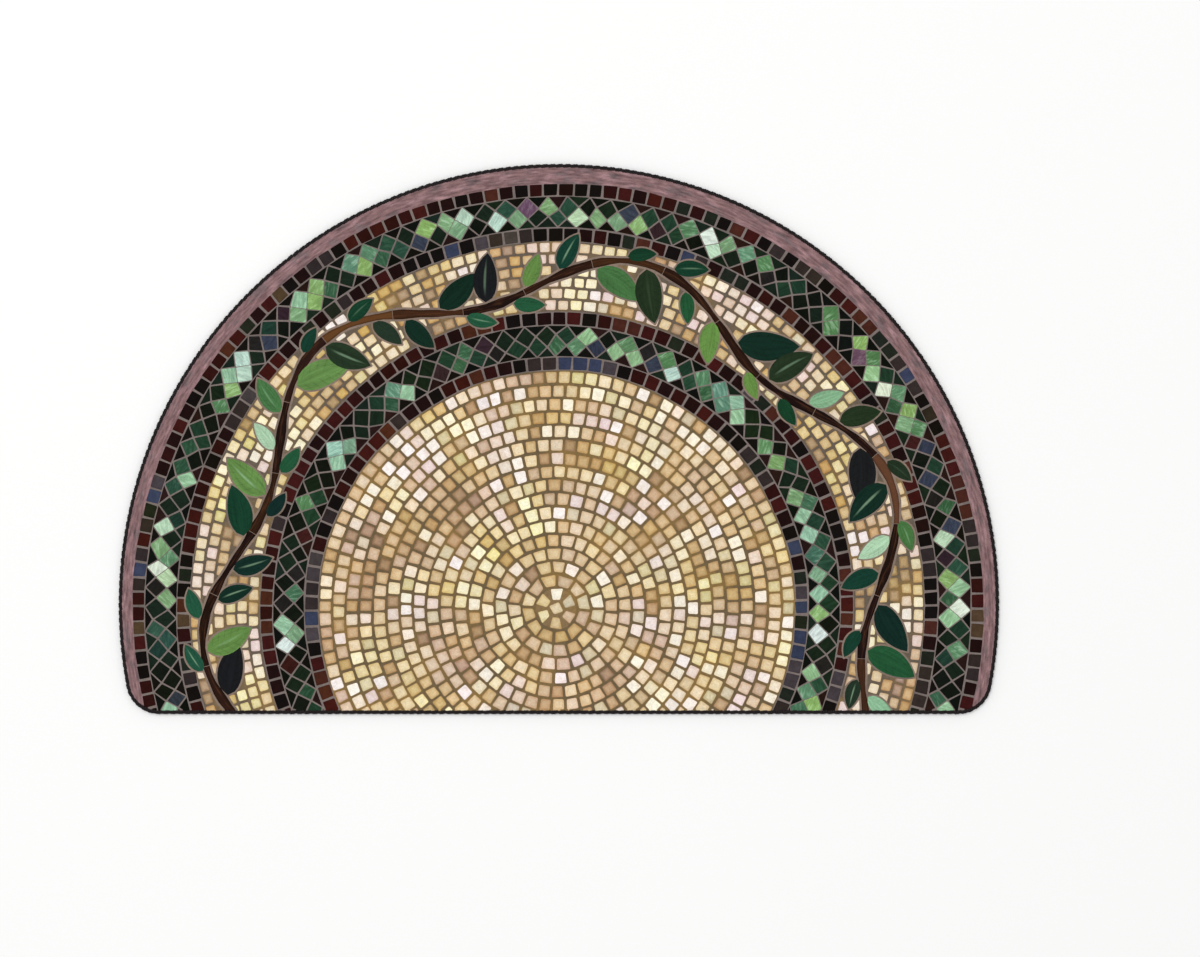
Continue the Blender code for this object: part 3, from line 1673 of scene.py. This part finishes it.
@dataclass(frozen=True)
class PrintDesign:
    """The whole print, from its centre out. Radii are in millimetres."""

    centre: PrintCentre = PrintCentre(-2.9, -190.7)
    centre_radius: float = 9.0
    pale_radius: float = 22.5  # the joints are paler this far out
    field_radius: float = 267.5
    field_rings: int = 17
    stone_pitch: float = 14.45
    stone_gap: float = 2.95
    square_pitch: float = 16.55
    square_gap: float = 2.4
    inner_rows: tuple[Point, ...] = ((267.8, 283.1), (318.8, 333.6))
    outer_rows: tuple[Point, ...] = ((412.0, 427.5), (464.0, 478.4))
    row_gap: float = 1.4
    inner_diamonds: Point = (283.5, 318.5)
    outer_diamonds: Point = (427.9, 463.8)
    diamond_pitch: float = 22.9
    inner_pale: float = 0.3172
    outer_pale: float = 0.4148
    vine_band: Point = (334.4, 412.0)
    vine_rings: int = 6
    vine_overlap: float = 0.6  # how far the ground of the vine's band shows inside the band
    border_radius: float = 477.6

    def patches(self) -> list[Patch]:
        """Every patch but the border's.

        Returns:
            The patches. Of two in one layer the later covers the earlier.
        """
        centre = self.centre
        inner_ground = self.vine_band[0] - self.vine_overlap
        parts = [
            Disc(centre, self.border_radius, Ink.LIGHT_GROUT, Layer.OUTER_BAND, BAND_GROUT),
            Disc(centre, self.vine_band[1], Ink.GROUT, Layer.VINE_BAND, VINE_GROUT),
            Disc(centre, inner_ground, Ink.LIGHT_GROUT, Layer.INNER_BAND, BAND_GROUT),
            Disc(centre, self.field_radius, Ink.GROUT, Layer.FIELD, FIELD_GROUT),
            Disc(centre, self.pale_radius, Ink.GROUT, Layer.FIELD, CENTRE_GROUT, steps=48),
            CentreStone(centre, self.centre_radius - self.stone_gap / 2),
            self.stones(self.centre_radius, self.field_radius, self.field_rings, FIELD_STONES, seed=16),
            self.stones(*self.vine_band, self.vine_rings, VINE_STONES, seed=8),
            DiamondBand(centre, *self.inner_diamonds, self.diamond_pitch, self.inner_pale, seed=12),
            DiamondBand(centre, *self.outer_diamonds, self.diamond_pitch, self.outer_pale, seed=31),
            RunningVine(centre),
        ]
        rows = enumerate(self.inner_rows + self.outer_rows, start=40)
        parts += [self.dark_row(low, high, seed) for seed, (low, high) in rows]
        return [patch for part in parts for patch in part.patches()]

    def stones(self, low: float, high: float, rings: int, palette: Palette, seed: int) -> StoneRings:
        """Rings of pale stones between two radii."""
        pitch, gap = self.stone_pitch, self.stone_gap
        return StoneRings(self.centre, low, high, rings, pitch, gap, gap, Ink.STONE, palette, seed)

    def dark_row(self, low: float, high: float, seed: int) -> StoneRings:
        """One row of dark squares between two radii.

        Args:
            low: its inner radius.
            high: its outer radius.
            seed: its random seed.

        Returns:
            The row.
        """
        return StoneRings(
            self.centre,
            low,
            high,
            rings=1,
            pitch=self.square_pitch,
            side_gap=self.square_gap,
            ring_gap=self.row_gap,
            ink=Ink.ENAMEL,
            palette=DARK_SQUARES,
            seed=seed,
            unevenness=0.06,
            shake=0.3,
            corner_cut=1.1,
        )


@dataclass(frozen=True)
class PrintedCloth:
    """The cloth: a slab with a rounded rim, its top face cut into the print's patches. In millimetres."""

    INSIDE = 1  # has the cut keep only triangles that lie in a patch
    UNDER_ALL = -1  # a rank below every layer's

    outline: MatOutline
    thickness: float
    top_inset: float = 5.6
    rim_inset: float = 1.7
    rim_height: float = 3.2
    bottom_inset: float = 6.5
    rim_steps: int = 6
    merged: float = 0.004  # points nearer than this become one
    least_share: float = 0.22  # a stone of which less is uncovered isn't shown
    rim_strip: Point = (0.955, 0.04)  # where the rim lies on the baking map, and how high it is there
    under_place: Point = (0.48, 0.64)  # how wide the underside is there, and where it starts

    def cut(self, patches: list[Patch]) -> tuple[np.ndarray, np.ndarray, np.ndarray]:
        """Cuts the top face along every patch.

        Args:
            patches: the patches, the first of them the whole top.

        Returns:
            The points, the triangles, and the number of the patch that each triangle shows.
        """
        places: list[Vector] = []
        edges: list[tuple[int, int]] = []
        faces: list[list[int]] = []
        for patch in patches:
            first = len(places)
            places += map(Vector, patch.points)
            faces.append(list(range(first, len(places))))
            first = len(places)
            places += map(Vector, patch.spine)
            edges += [(start, start + 1) for start in range(first, len(places) - 1)]
        made = delaunay_2d_cdt(places, edges, faces, self.INSIDE, self.merged)
        points, _, triangles, _, _, holders = made
        kept = [(face, held) for face, held in zip(triangles, holders) if 0 in held]
        used, corners = np.unique([face for face, _ in kept], return_inverse=True)
        points, corners = np.array(points)[used], corners.reshape(-1, 3)
        return points, corners, self.owners(patches, points[corners], [held for _, held in kept])

    def owners(self, patches: list[Patch], corners: np.ndarray, holders: list[list[int]]) -> np.ndarray:
        """Finds the patch that each triangle shows: the topmost, but no stone that is nearly covered.

        Args:
            patches: the patches.
            corners: each triangle's corners.
            holders: the numbers of the patches that hold each triangle.

        Returns:
            For each triangle the number of its patch.
        """
        ranks = [(patch.layer.value, number) for number, patch in enumerate(patches)]
        owners = np.array([max(held, key=ranks.__getitem__) for held in holders])
        ahead, aside = corners[:, 1] - corners[:, 0], corners[:, 2] - corners[:, 0]
        areas = np.abs(ahead[:, 0] * aside[:, 1] - ahead[:, 1] * aside[:, 0]) / 2
        shown = np.bincount(owners, areas, len(patches))
        covers = np.repeat(areas, [len(held) for held in holders])
        inside = np.bincount(np.concatenate(holders), covers, len(patches))
        for number, patch in enumerate(patches):
            if patch.ink is Ink.STONE and shown[number] < self.least_share * inside[number]:
                ranks[number] = (self.UNDER_ALL, number)
        return np.array([max(held, key=ranks.__getitem__) for held in holders])

    @staticmethod
    def border_of(triangles: np.ndarray, owners: np.ndarray) -> list[tuple[int, int, int]]:
        """The top's border, counter-clockwise.

        Args:
            triangles: the top's triangles.
            owners: the patch that each shows.

        Returns:
            For each edge of the border its two points and the patch inside it.
        """
        sides = {}
        for (a, b, c), owner in zip(triangles.tolist(), owners.tolist()):
            sides.update({(a, b): owner, (b, c): owner, (c, a): owner})
        after = {a: (b, owner) for (a, b), owner in sides.items() if (b, a) not in sides}
        start = point = min(after)
        found = []
        while not found or point != start:
            following, owner = after[point]
            found.append((point, following, owner))
            point = following
        return found

    def section(self) -> list[Point]:
        """The rim as insets and heights, from the top face round to the underside.

        Returns:
            Its points.
        """
        height = self.rim_height
        upper = (self.top_inset - self.rim_inset, self.thickness - height)
        lower = (self.bottom_inset - self.rim_inset, height)
        above = arc((self.top_inset, height), upper, self.rim_steps)
        below = arc((self.bottom_inset, height), lower, self.rim_steps, below=True)
        return above + below[1:]

    def make(self, design: PrintDesign) -> bpy.types.Object:
        """The cloth with its print.

        Args:
            design: the print.

        Returns:
            The finished piece.
        """
        grain = design.centre.rim_grain
        border = Patch(self.outline.points(self.top_inset), Ink.BORDER, Layer.BORDER, BORDER_PLUM, grain)
        back = Patch(self.outline.points(0), Ink.BACKING, Layer.BORDER, UNDERSIDE, grain)
        patches = [border, *design.patches()]
        points, triangles, owners = self.cut(patches)
        patches.append(back)
        return self.build(patches, points, triangles, owners)

    def build(
        self, patches: list[Patch], points: np.ndarray, triangles: np.ndarray, owners: np.ndarray
    ) -> bpy.types.Object:
        """Joins the top, the rim and the underside into one closed mesh.

        Args:
            patches: the patches, the last of them the underside's.
            points: the top's points.
            triangles: the top's triangles.
            owners: the patch that each triangle shows.

        Returns:
            The finished piece.
        """
        border = self.border_of(triangles, owners)
        section = self.section()
        size = self.outline.width
        flat = (points + (size / 2, self.outline.depth / 2)) / size
        verts = [(x, y, self.thickness) for x, y in points]
        faces = triangles.tolist()
        shows = owners.tolist()
        baked = [[tuple(flat[corner]) for corner in face] for face in faces]
        rings = [[start for start, _, _ in border]]
        for inset, height in section[1:]:
            rings.append(list(range(len(verts), len(verts) + len(border))))
            for start, _, _ in border:
                x, y = points[start]
                out_x, out_y = self.outline.outward((x, y))
                move = self.top_inset - inset
                verts.append((x + out_x * move, y + out_y * move, height))
        back = len(patches) - 1
        strip, strip_height = self.rim_strip[0], self.rim_strip[1] / (len(rings) - 1)
        for level, (upper, lower) in enumerate(zip(rings, rings[1:])):
            for index, (_, _, owner) in enumerate(border):
                following = (index + 1) % len(border)
                faces.append([upper[following], upper[index], lower[index], lower[following]])
                shows.append(owner if level < self.rim_steps else back)
                left, right = index / len(border), (index + 1) / len(border)
                top, bottom = strip + level * strip_height, strip + (level + 1) * strip_height
                baked.append([(right, top), (left, top), (left, bottom), (right, bottom)])
        faces.append(rings[-1][::-1])
        shows.append(back)
        scale, start = self.under_place
        half_depth = self.outline.depth / 2
        under = [verts[corner][:2] for corner in faces[-1]]
        baked.append([((x / size + 0.5) * scale, (y + half_depth) / size * scale + start) for x, y in under])
        return self.dress(patches, verts, faces, shows, baked)

    def dress(
        self,
        patches: list[Patch],
        verts: list[tuple[float, float, float]],
        faces: list[list[int]],
        shows: list[int],
        baked: list[list[Point]],
    ) -> bpy.types.Object:
        """Makes the piece and gives each face its patch's ink, colour, seed and coordinates.

        Args:
            patches: the patches.
            verts: the points, in millimetres.
            faces: the faces.
            shows: the number of the patch that each face shows.
            baked: the places of each face's corners on the baking map.

        Returns:
            The finished piece.
        """
        mesh = bpy.data.meshes.new("printed_doormat")
        mesh.from_pydata([Vector(vert) * MM for vert in verts], [], faces)
        inks = list(Ink)
        for entry in inks:
            mesh.materials.append(entry.value.make())
        colours, seeds, own = [], [], []
        for face, number in zip(faces, shows):
            patch = patches[number]
            for corner in face:
                colours += (*patch.colour, 1.0)
                seeds.append(patch.seed)
                own += patch.grain(verts[corner][:2])
        mesh.polygons.foreach_set("material_index", [inks.index(patches[number].ink) for number in shows])
        mesh.attributes.new(PATCH_COLOUR, "FLOAT_COLOR", "CORNER").data.foreach_set("color", colours)
        mesh.attributes.new(PATCH_SEED, "FLOAT", "CORNER").data.foreach_set("value", seeds)
        mesh.uv_layers.new(name=PATCH_MAP).uv.foreach_set("vector", own)
        flat = [value for face in baked for corner in face for value in corner]
        mesh.uv_layers.new(name=BAKE_MAP).uv.foreach_set("vector", flat)
        mesh.shade_smooth()
        mesh.validate()
        return placed("printed_doormat", mesh)


@dataclass(frozen=True)
class OvercastEdging:
    """The yarn sewn over the rim: wide stitches of three strands, each from hole to hole round the edge.

    Sizes are in millimetres. A stitch's own X runs along the rim, its Y into the mat and its Z up.
    """

    YARN_MAP = "yarn_map"
    SEED = "stitch_seed"

    outline: MatOutline
    height: float
    pitch: float = 8.4
    reach: float = 4.3
    thickness: float = 1.1
    top_radius: float = 3.0
    bottom_radius: float = 2.0
    strands: int = 3
    scallop: float = 0.6
    least_scallop: float = 0.4  # of the scallop, where a stitch lies flat
    widen: float = 1.08
    narrow: float = 0.92
    narrow_steps: int = 5  # how many of a stitch's steps it widens over from each hole
    # Points at the holes: how much further in than the reach, and how deep.
    upper_hole: tuple[Point, Point] = ((0.3, 0.75), (-0.2, 0.1))
    lower_hole: tuple[Point, Point] = ((-0.4, 0.0), (0.0, 0.75))
    valley: float = 0.15  # of half the thickness, between two strands
    inner_width: float = 0.8
    lean: float = math.radians(6)
    lean_variation: float = math.radians(2.5)
    smallest_size: float = 0.97
    seed: int = 4
    points_across: int = 13
    arc_steps: int = 4
    side_share: float = 0.88  # of a stitch's cell on the baking map, for its side
    cap_places: Point = (0.1, 0.3)
    cap_height: float = 0.945
    cap_size: Point = (0.05, 0.04)
    cell_margin: float = 0.04

    @property
    def count(self) -> int:
        """How many stitches go round the rim.

        Returns:
            Their number.
        """
        points = self.outline.points(0.0)
        round_it = sum(math.dist(a, b) for a, b in zip(points, [*points[1:], points[0]]))
        return round(round_it / self.pitch)

    def path(self) -> list[Point]:
        """A stitch's middle line as insets and heights, from its upper hole round to its lower one.

        Returns:
            The line's points.
        """
        half = self.thickness / 2
        high = self.height - half
        top, bottom = self.top_radius, self.bottom_radius
        over = arc((top, self.height - top), (top - half, top - half), self.arc_steps)
        under = arc((bottom, bottom), (bottom - half, bottom - half), self.arc_steps, below=True)
        upper_hole = [(self.reach + further, high - deeper) for further, deeper in self.upper_hole]
        lower_hole = [(self.reach + further, half + deeper) for further, deeper in self.lower_hole]
        return upper_hole + over + under + lower_hole

    def section(self) -> list[Point]:
        """A stitch's cross-section, its strands outside and flat inside.

        Returns:
            Its points, each as a share of half the width and a height.
        """
        half = self.thickness / 2
        last = self.points_across - 1
        across = [2 * step / last - 1 for step in range(last + 1)]
        offs = [((a + 1) / 2 * self.strands) % 1 * 2 - 1 for a in across]
        rises = [self.valley + (1 - self.valley) * math.sqrt(max(0.0, 1 - off * off)) for off in offs]
        outside = [(share, half * rise) for share, rise in zip(across, rises)]
        return outside + [(share, -half) for share in (self.inner_width, 0.0, -self.inner_width)]

    def stitch(self) -> bpy.types.Object:
        """One stitch, its origin on the outline.

        Returns:
            The stitch, as an object.
        """
        path, section = self.path(), self.section()
        last = len(path) - 1
        verts, own = [], []
        travelled = 0.0
        for index, (inset, height) in enumerate(path):
            before, after = path[max(index - 1, 0)], path[min(index + 1, last)]
            length = math.dist(before, after)
            out_y, out_z = (after[1] - before[1]) / length, (before[0] - after[0]) / length
            travelled += math.dist(before, path[index])
            nearest = min(index, last - index)
            opened = math.sin(math.pi / 2 * min(nearest / self.narrow_steps, 1.0))
            wide = self.pitch / 2 * self.widen * (self.narrow + (1 - self.narrow) * opened)
            sink = self.scallop * (self.least_scallop + (1 - self.least_scallop) * max(0.0, -out_y))
            for share, rise in section:
                lift = rise - sink * share**2 * (rise > 0)
                verts.append(Vector((share * wide, inset + out_y * lift, height + out_z * lift)) * MM)
                own.append((share, travelled))
        return self.wrapped(verts, own, len(path), len(section))

    def wrapped(self, verts: list[Vector], own: list[Point], rings: int, sides: int) -> bpy.types.Object:
        """Joins the stitch's rings into a closed mesh with its two maps.

        Args:
            verts: the points, ring by ring.
            own: each point's place across and along the yarn.
            rings: how many rings there are.
            sides: how many points each ring has.

        Returns:
            The stitch.
        """
        faces, maps = [], []
        for ring in range(rings - 1):
            for side in range(sides):
                following = (side + 1) % sides
                first, second = ring * sides, (ring + 1) * sides
                faces.append([first + side, first + following, second + following, second + side])
                left, right = side / sides, (side + 1) / sides
                low, high = (at / (rings - 1) * self.side_share for at in (ring, ring + 1))
                maps += [(left, low), (right, low), (right, high), (left, high)]
        wide, tall = self.cap_size
        for first, centre in zip((0, (rings - 1) * sides), self.cap_places):
            order = range(sides - 1, -1, -1) if first == 0 else range(sides)
            faces.append([first + side for side in order])
            for side in order:
                turn = TURN * side / sides
                maps.append((centre + wide * math.cos(turn), self.cap_height + tall * math.sin(turn)))
        mesh = bpy.data.meshes.new("stitch")
        mesh.from_pydata(verts, [], faces)
        corners = [corner for face in faces for corner in face]
        drawn = [value for corner in corners for value in own[corner]]
        mesh.uv_layers.new(name=self.YARN_MAP).uv.foreach_set("vector", drawn)
        mesh.uv_layers.new(name=BAKE_MAP).uv.foreach_set("vector", [v for place in maps for v in place])
        mesh.shade_smooth()
        return placed("stitch", mesh)

    def tree(self) -> tuple[bpy.types.NodeTree, dict[str, str]]:
        """The node tree that sets a stitch at even steps along a closed line of edges.

        Returns:
            The tree, and the identifiers of its inputs by name.
        """
        tree = bpy.data.node_groups.new("overcast_edging", "GeometryNodeTree")
        kinds = {
            "Rim": "Geometry",
            "Stitch": "Object",
            "Count": "Int",
            "Lean": "Float",
            "Lean Variation": "Float",
            "Smallest Size": "Float",
            "Seed": "Int",
            "Finish": "Material",
        }
        named = {}
        for name, kind in kinds.items():
            made = tree.interface.new_socket(name=name, in_out="INPUT", socket_type=f"NodeSocket{kind}")
            named[name] = made.identifier
        tree.interface.new_socket(name="Edging", in_out="OUTPUT", socket_type="NodeSocketGeometry")
        nodes = Nodes(tree)
        group = tree.nodes.new("NodeGroupInput")
        given = {name: Socket(nodes, group.outputs[name]) for name in kinds}
        curve = nodes.node("GeometryNodeMeshToCurve", sockets={"Mesh": given["Rim"]})
        steps = nodes.node("GeometryNodeResampleCurve", sockets={"Curve": curve, "Count": given["Count"]})
        facing = nodes.node(
            "FunctionNodeAxesToRotation",
            {"primary_axis": "X", "secondary_axis": "Z"},
            {"Primary Axis": nodes.node("GeometryNodeInputTangent"), "Secondary Axis": (0.0, 0.0, 1.0)},
        )
        variation, seed = given["Lean Variation"], given["Seed"]
        turns = self.random_number(nodes, variation * -1, variation, seed)
        euler = nodes.node("ShaderNodeCombineXYZ", sockets={"Z": given["Lean"] + turns})
        leaning = nodes.node(
            "FunctionNodeRotateRotation",
            {"rotation_space": "LOCAL"},
            {"Rotation": facing, "Rotate By": nodes.node("FunctionNodeEulerToRotation", sockets={0: euler})},
        )
        sizes = [self.random_number(nodes, given["Smallest Size"], 1.0, seed + step) for step in (1, 2)]
        scale = nodes.node("ShaderNodeCombineXYZ", sockets={"X": sizes[0], "Y": 1.0, "Z": sizes[1]})
        wanted = {"Object": given["Stitch"]}
        prototype = nodes.node("GeometryNodeObjectInfo", sockets=wanted, output="Geometry")
        stitches = nodes.node(
            "GeometryNodeInstanceOnPoints",
            sockets={"Points": steps, "Instance": prototype, "Rotation": leaning, "Scale": scale},
        )
        seeded = nodes.node(
            "GeometryNodeStoreNamedAttribute",
            {"data_type": "FLOAT", "domain": "INSTANCE"},
            {
                "Geometry": stitches,
                "Name": self.SEED,
                "Value": self.random_number(nodes, 0.0, 1.0, seed + 3),
            },
        )
        real = nodes.node("GeometryNodeRealizeInstances", sockets={"Geometry": seeded})
        both = {"Geometry": real, "Material": given["Finish"]}
        dressed = nodes.node("GeometryNodeSetMaterial", sockets=both)
        out = tree.nodes.new("NodeGroupOutput")
        tree.links.new(dressed.source, out.inputs["Edging"])
        return tree, named

    @staticmethod
    def random_number(nodes: Nodes, low: Socket | float, high: Socket | float, seed: Socket) -> Socket:
        """A random number between two values, another for each stitch."""
        sockets = {2: low, 3: high, "Seed": seed}
        return nodes.node("FunctionNodeRandomValue", {"data_type": "FLOAT"}, sockets, output=1)

    def make(self, finish: YarnFinish) -> bpy.types.Object:
        """The whole edging as one plain mesh.

        Args:
            finish: the yarn's finish.

        Returns:
            The finished piece.
        """
        points = self.outline.points(0.0)
        line = bpy.data.meshes.new("rim_line")
        edges = [(index, (index + 1) % len(points)) for index in range(len(points))]
        line.from_pydata([(x * MM, y * MM, 0.0) for x, y in points], edges, [])
        carrier = placed("rim_line", line)
        stitch = self.stitch()
        tree, named = self.tree()
        values = {
            "Stitch": stitch,
            "Count": self.count,
            "Lean": self.lean,
            "Lean Variation": self.lean_variation,
            "Smallest Size": self.smallest_size,
            "Seed": self.seed,
            "Finish": finish.make(),
        }
        modifier = carrier.modifiers.new("overcast", "NODES")
        modifier.node_group = tree
        for name, value in values.items():
            modifier[named[name]] = value
        evaluated = carrier.evaluated_get(bpy.context.evaluated_depsgraph_get())
        mesh = bpy.data.meshes.new_from_object(evaluated)
        mesh.name = "overcast_edging"
        carrier.modifiers.remove(modifier)
        for spare in (carrier, stitch):
            bpy.data.objects.remove(spare)
        self.spread_map(mesh)
        return placed("overcast_edging", mesh)

    def spread_map(self, mesh: bpy.types.Mesh) -> None:
        """Gives every stitch a cell of its own on the baking map.

        Args:
            mesh: the edging's mesh.
        """
        layer = mesh.uv_layers[BAKE_MAP]
        places = np.zeros(len(mesh.loops) * 2, np.float32)
        layer.uv.foreach_get("vector", places)
        places = places.reshape(self.count, -1, 2)
        columns = math.ceil(math.sqrt(self.count))
        numbers = np.arange(self.count)
        cells = np.stack((numbers % columns, numbers // columns), axis=1)[:, None, :]
        margin = self.cell_margin
        spread = (cells + margin + places * (1 - 2 * margin)) / columns
        layer.uv.foreach_set("vector", spread.ravel())


@dataclass(frozen=True)
class Studio:
    """A pale floor, one broad soft light above, an even surround, and the camera straight overhead."""

    floor_size: float = 14.0
    camera_offset: Point = (0.0462, -0.0444)
    camera_height: float = 3.182
    lens: float = 85.0
    sensor: float = 36.0
    surround: float = 0.71
    key_power: float = 164.0
    key_size: float = 3.6
    key_place: tuple[float, float, float] = (-1.3, 1.6, 6.0)

    def make(self, top: float) -> None:
        """Makes the floor, the lights and the camera.

        Args:
            top: the height of the mat's top face, in metres.
        """
        scene = bpy.context.scene
        half = self.floor_size / 2
        mesh = bpy.data.meshes.new("floor")
        corners = [(-half, -half), (half, -half), (half, half), (-half, half)]
        mesh.from_pydata([(x, y, 0.0) for x, y in corners], [], [(0, 1, 2, 3)])
        mesh.materials.append(FloorFinish().make())
        floor = placed("floor", mesh)
        world = bpy.data.worlds.new("surround")
        world.use_nodes = True
        background = world.node_tree.nodes["Background"]
        background.inputs["Color"].default_value = (1.0, 1.0, 1.0, 1)
        background.inputs["Strength"].default_value = self.surround
        scene.world = world
        light = bpy.data.lights.new("key", "AREA")
        light.energy = self.key_power
        light.size = self.key_size
        key = placed("key", light)
        key.location = self.key_place
        key.rotation_euler = (-Vector(self.key_place)).to_track_quat("-Z", "Y").to_euler()
        camera_data = bpy.data.cameras.new("camera")
        camera_data.lens = self.lens
        camera_data.sensor_width = self.sensor
        camera = placed("camera", camera_data)
        camera.location = (*self.camera_offset, top + self.camera_height)
        scene.camera = camera
        scene.view_settings.view_transform = "Standard"


def main() -> None:
    """Builds the mat's two pieces and the studio, and reports each."""
    logging.basicConfig(level=logging.INFO, format="%(message)s")
    mat_low, mat_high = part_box("printed_mat")
    edge_low, edge_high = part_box("yarn_edging")
    outline = MatOutline((edge_high.x - edge_low.x) / MM, (edge_high.y - edge_low.y) / MM)
    Studio().make(mat_high.z)
    cloth = PrintedCloth(outline, mat_high.z / MM).make(PrintDesign())
    edging = OvercastEdging(outline, edge_high.z / MM).make(YarnFinish())
    for piece, node, slot in (
        (cloth, "printed_mat", "printed_cloth"),
        (edging, "yarn_edging", "edging_yarn"),
    ):
        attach(piece, BODY)
        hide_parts(node)
        log.info("%s: %d faces", piece.name, len(piece.data.polygons))
    flat = (mat_high.x - mat_low.x, mat_high.y - mat_low.y)
    inset = (edge_high.x - edge_low.x - flat[0]) / 2 / MM
    area = area_of(outline.points(inset)) * MM * MM


if __name__ == "__main__":
    main()
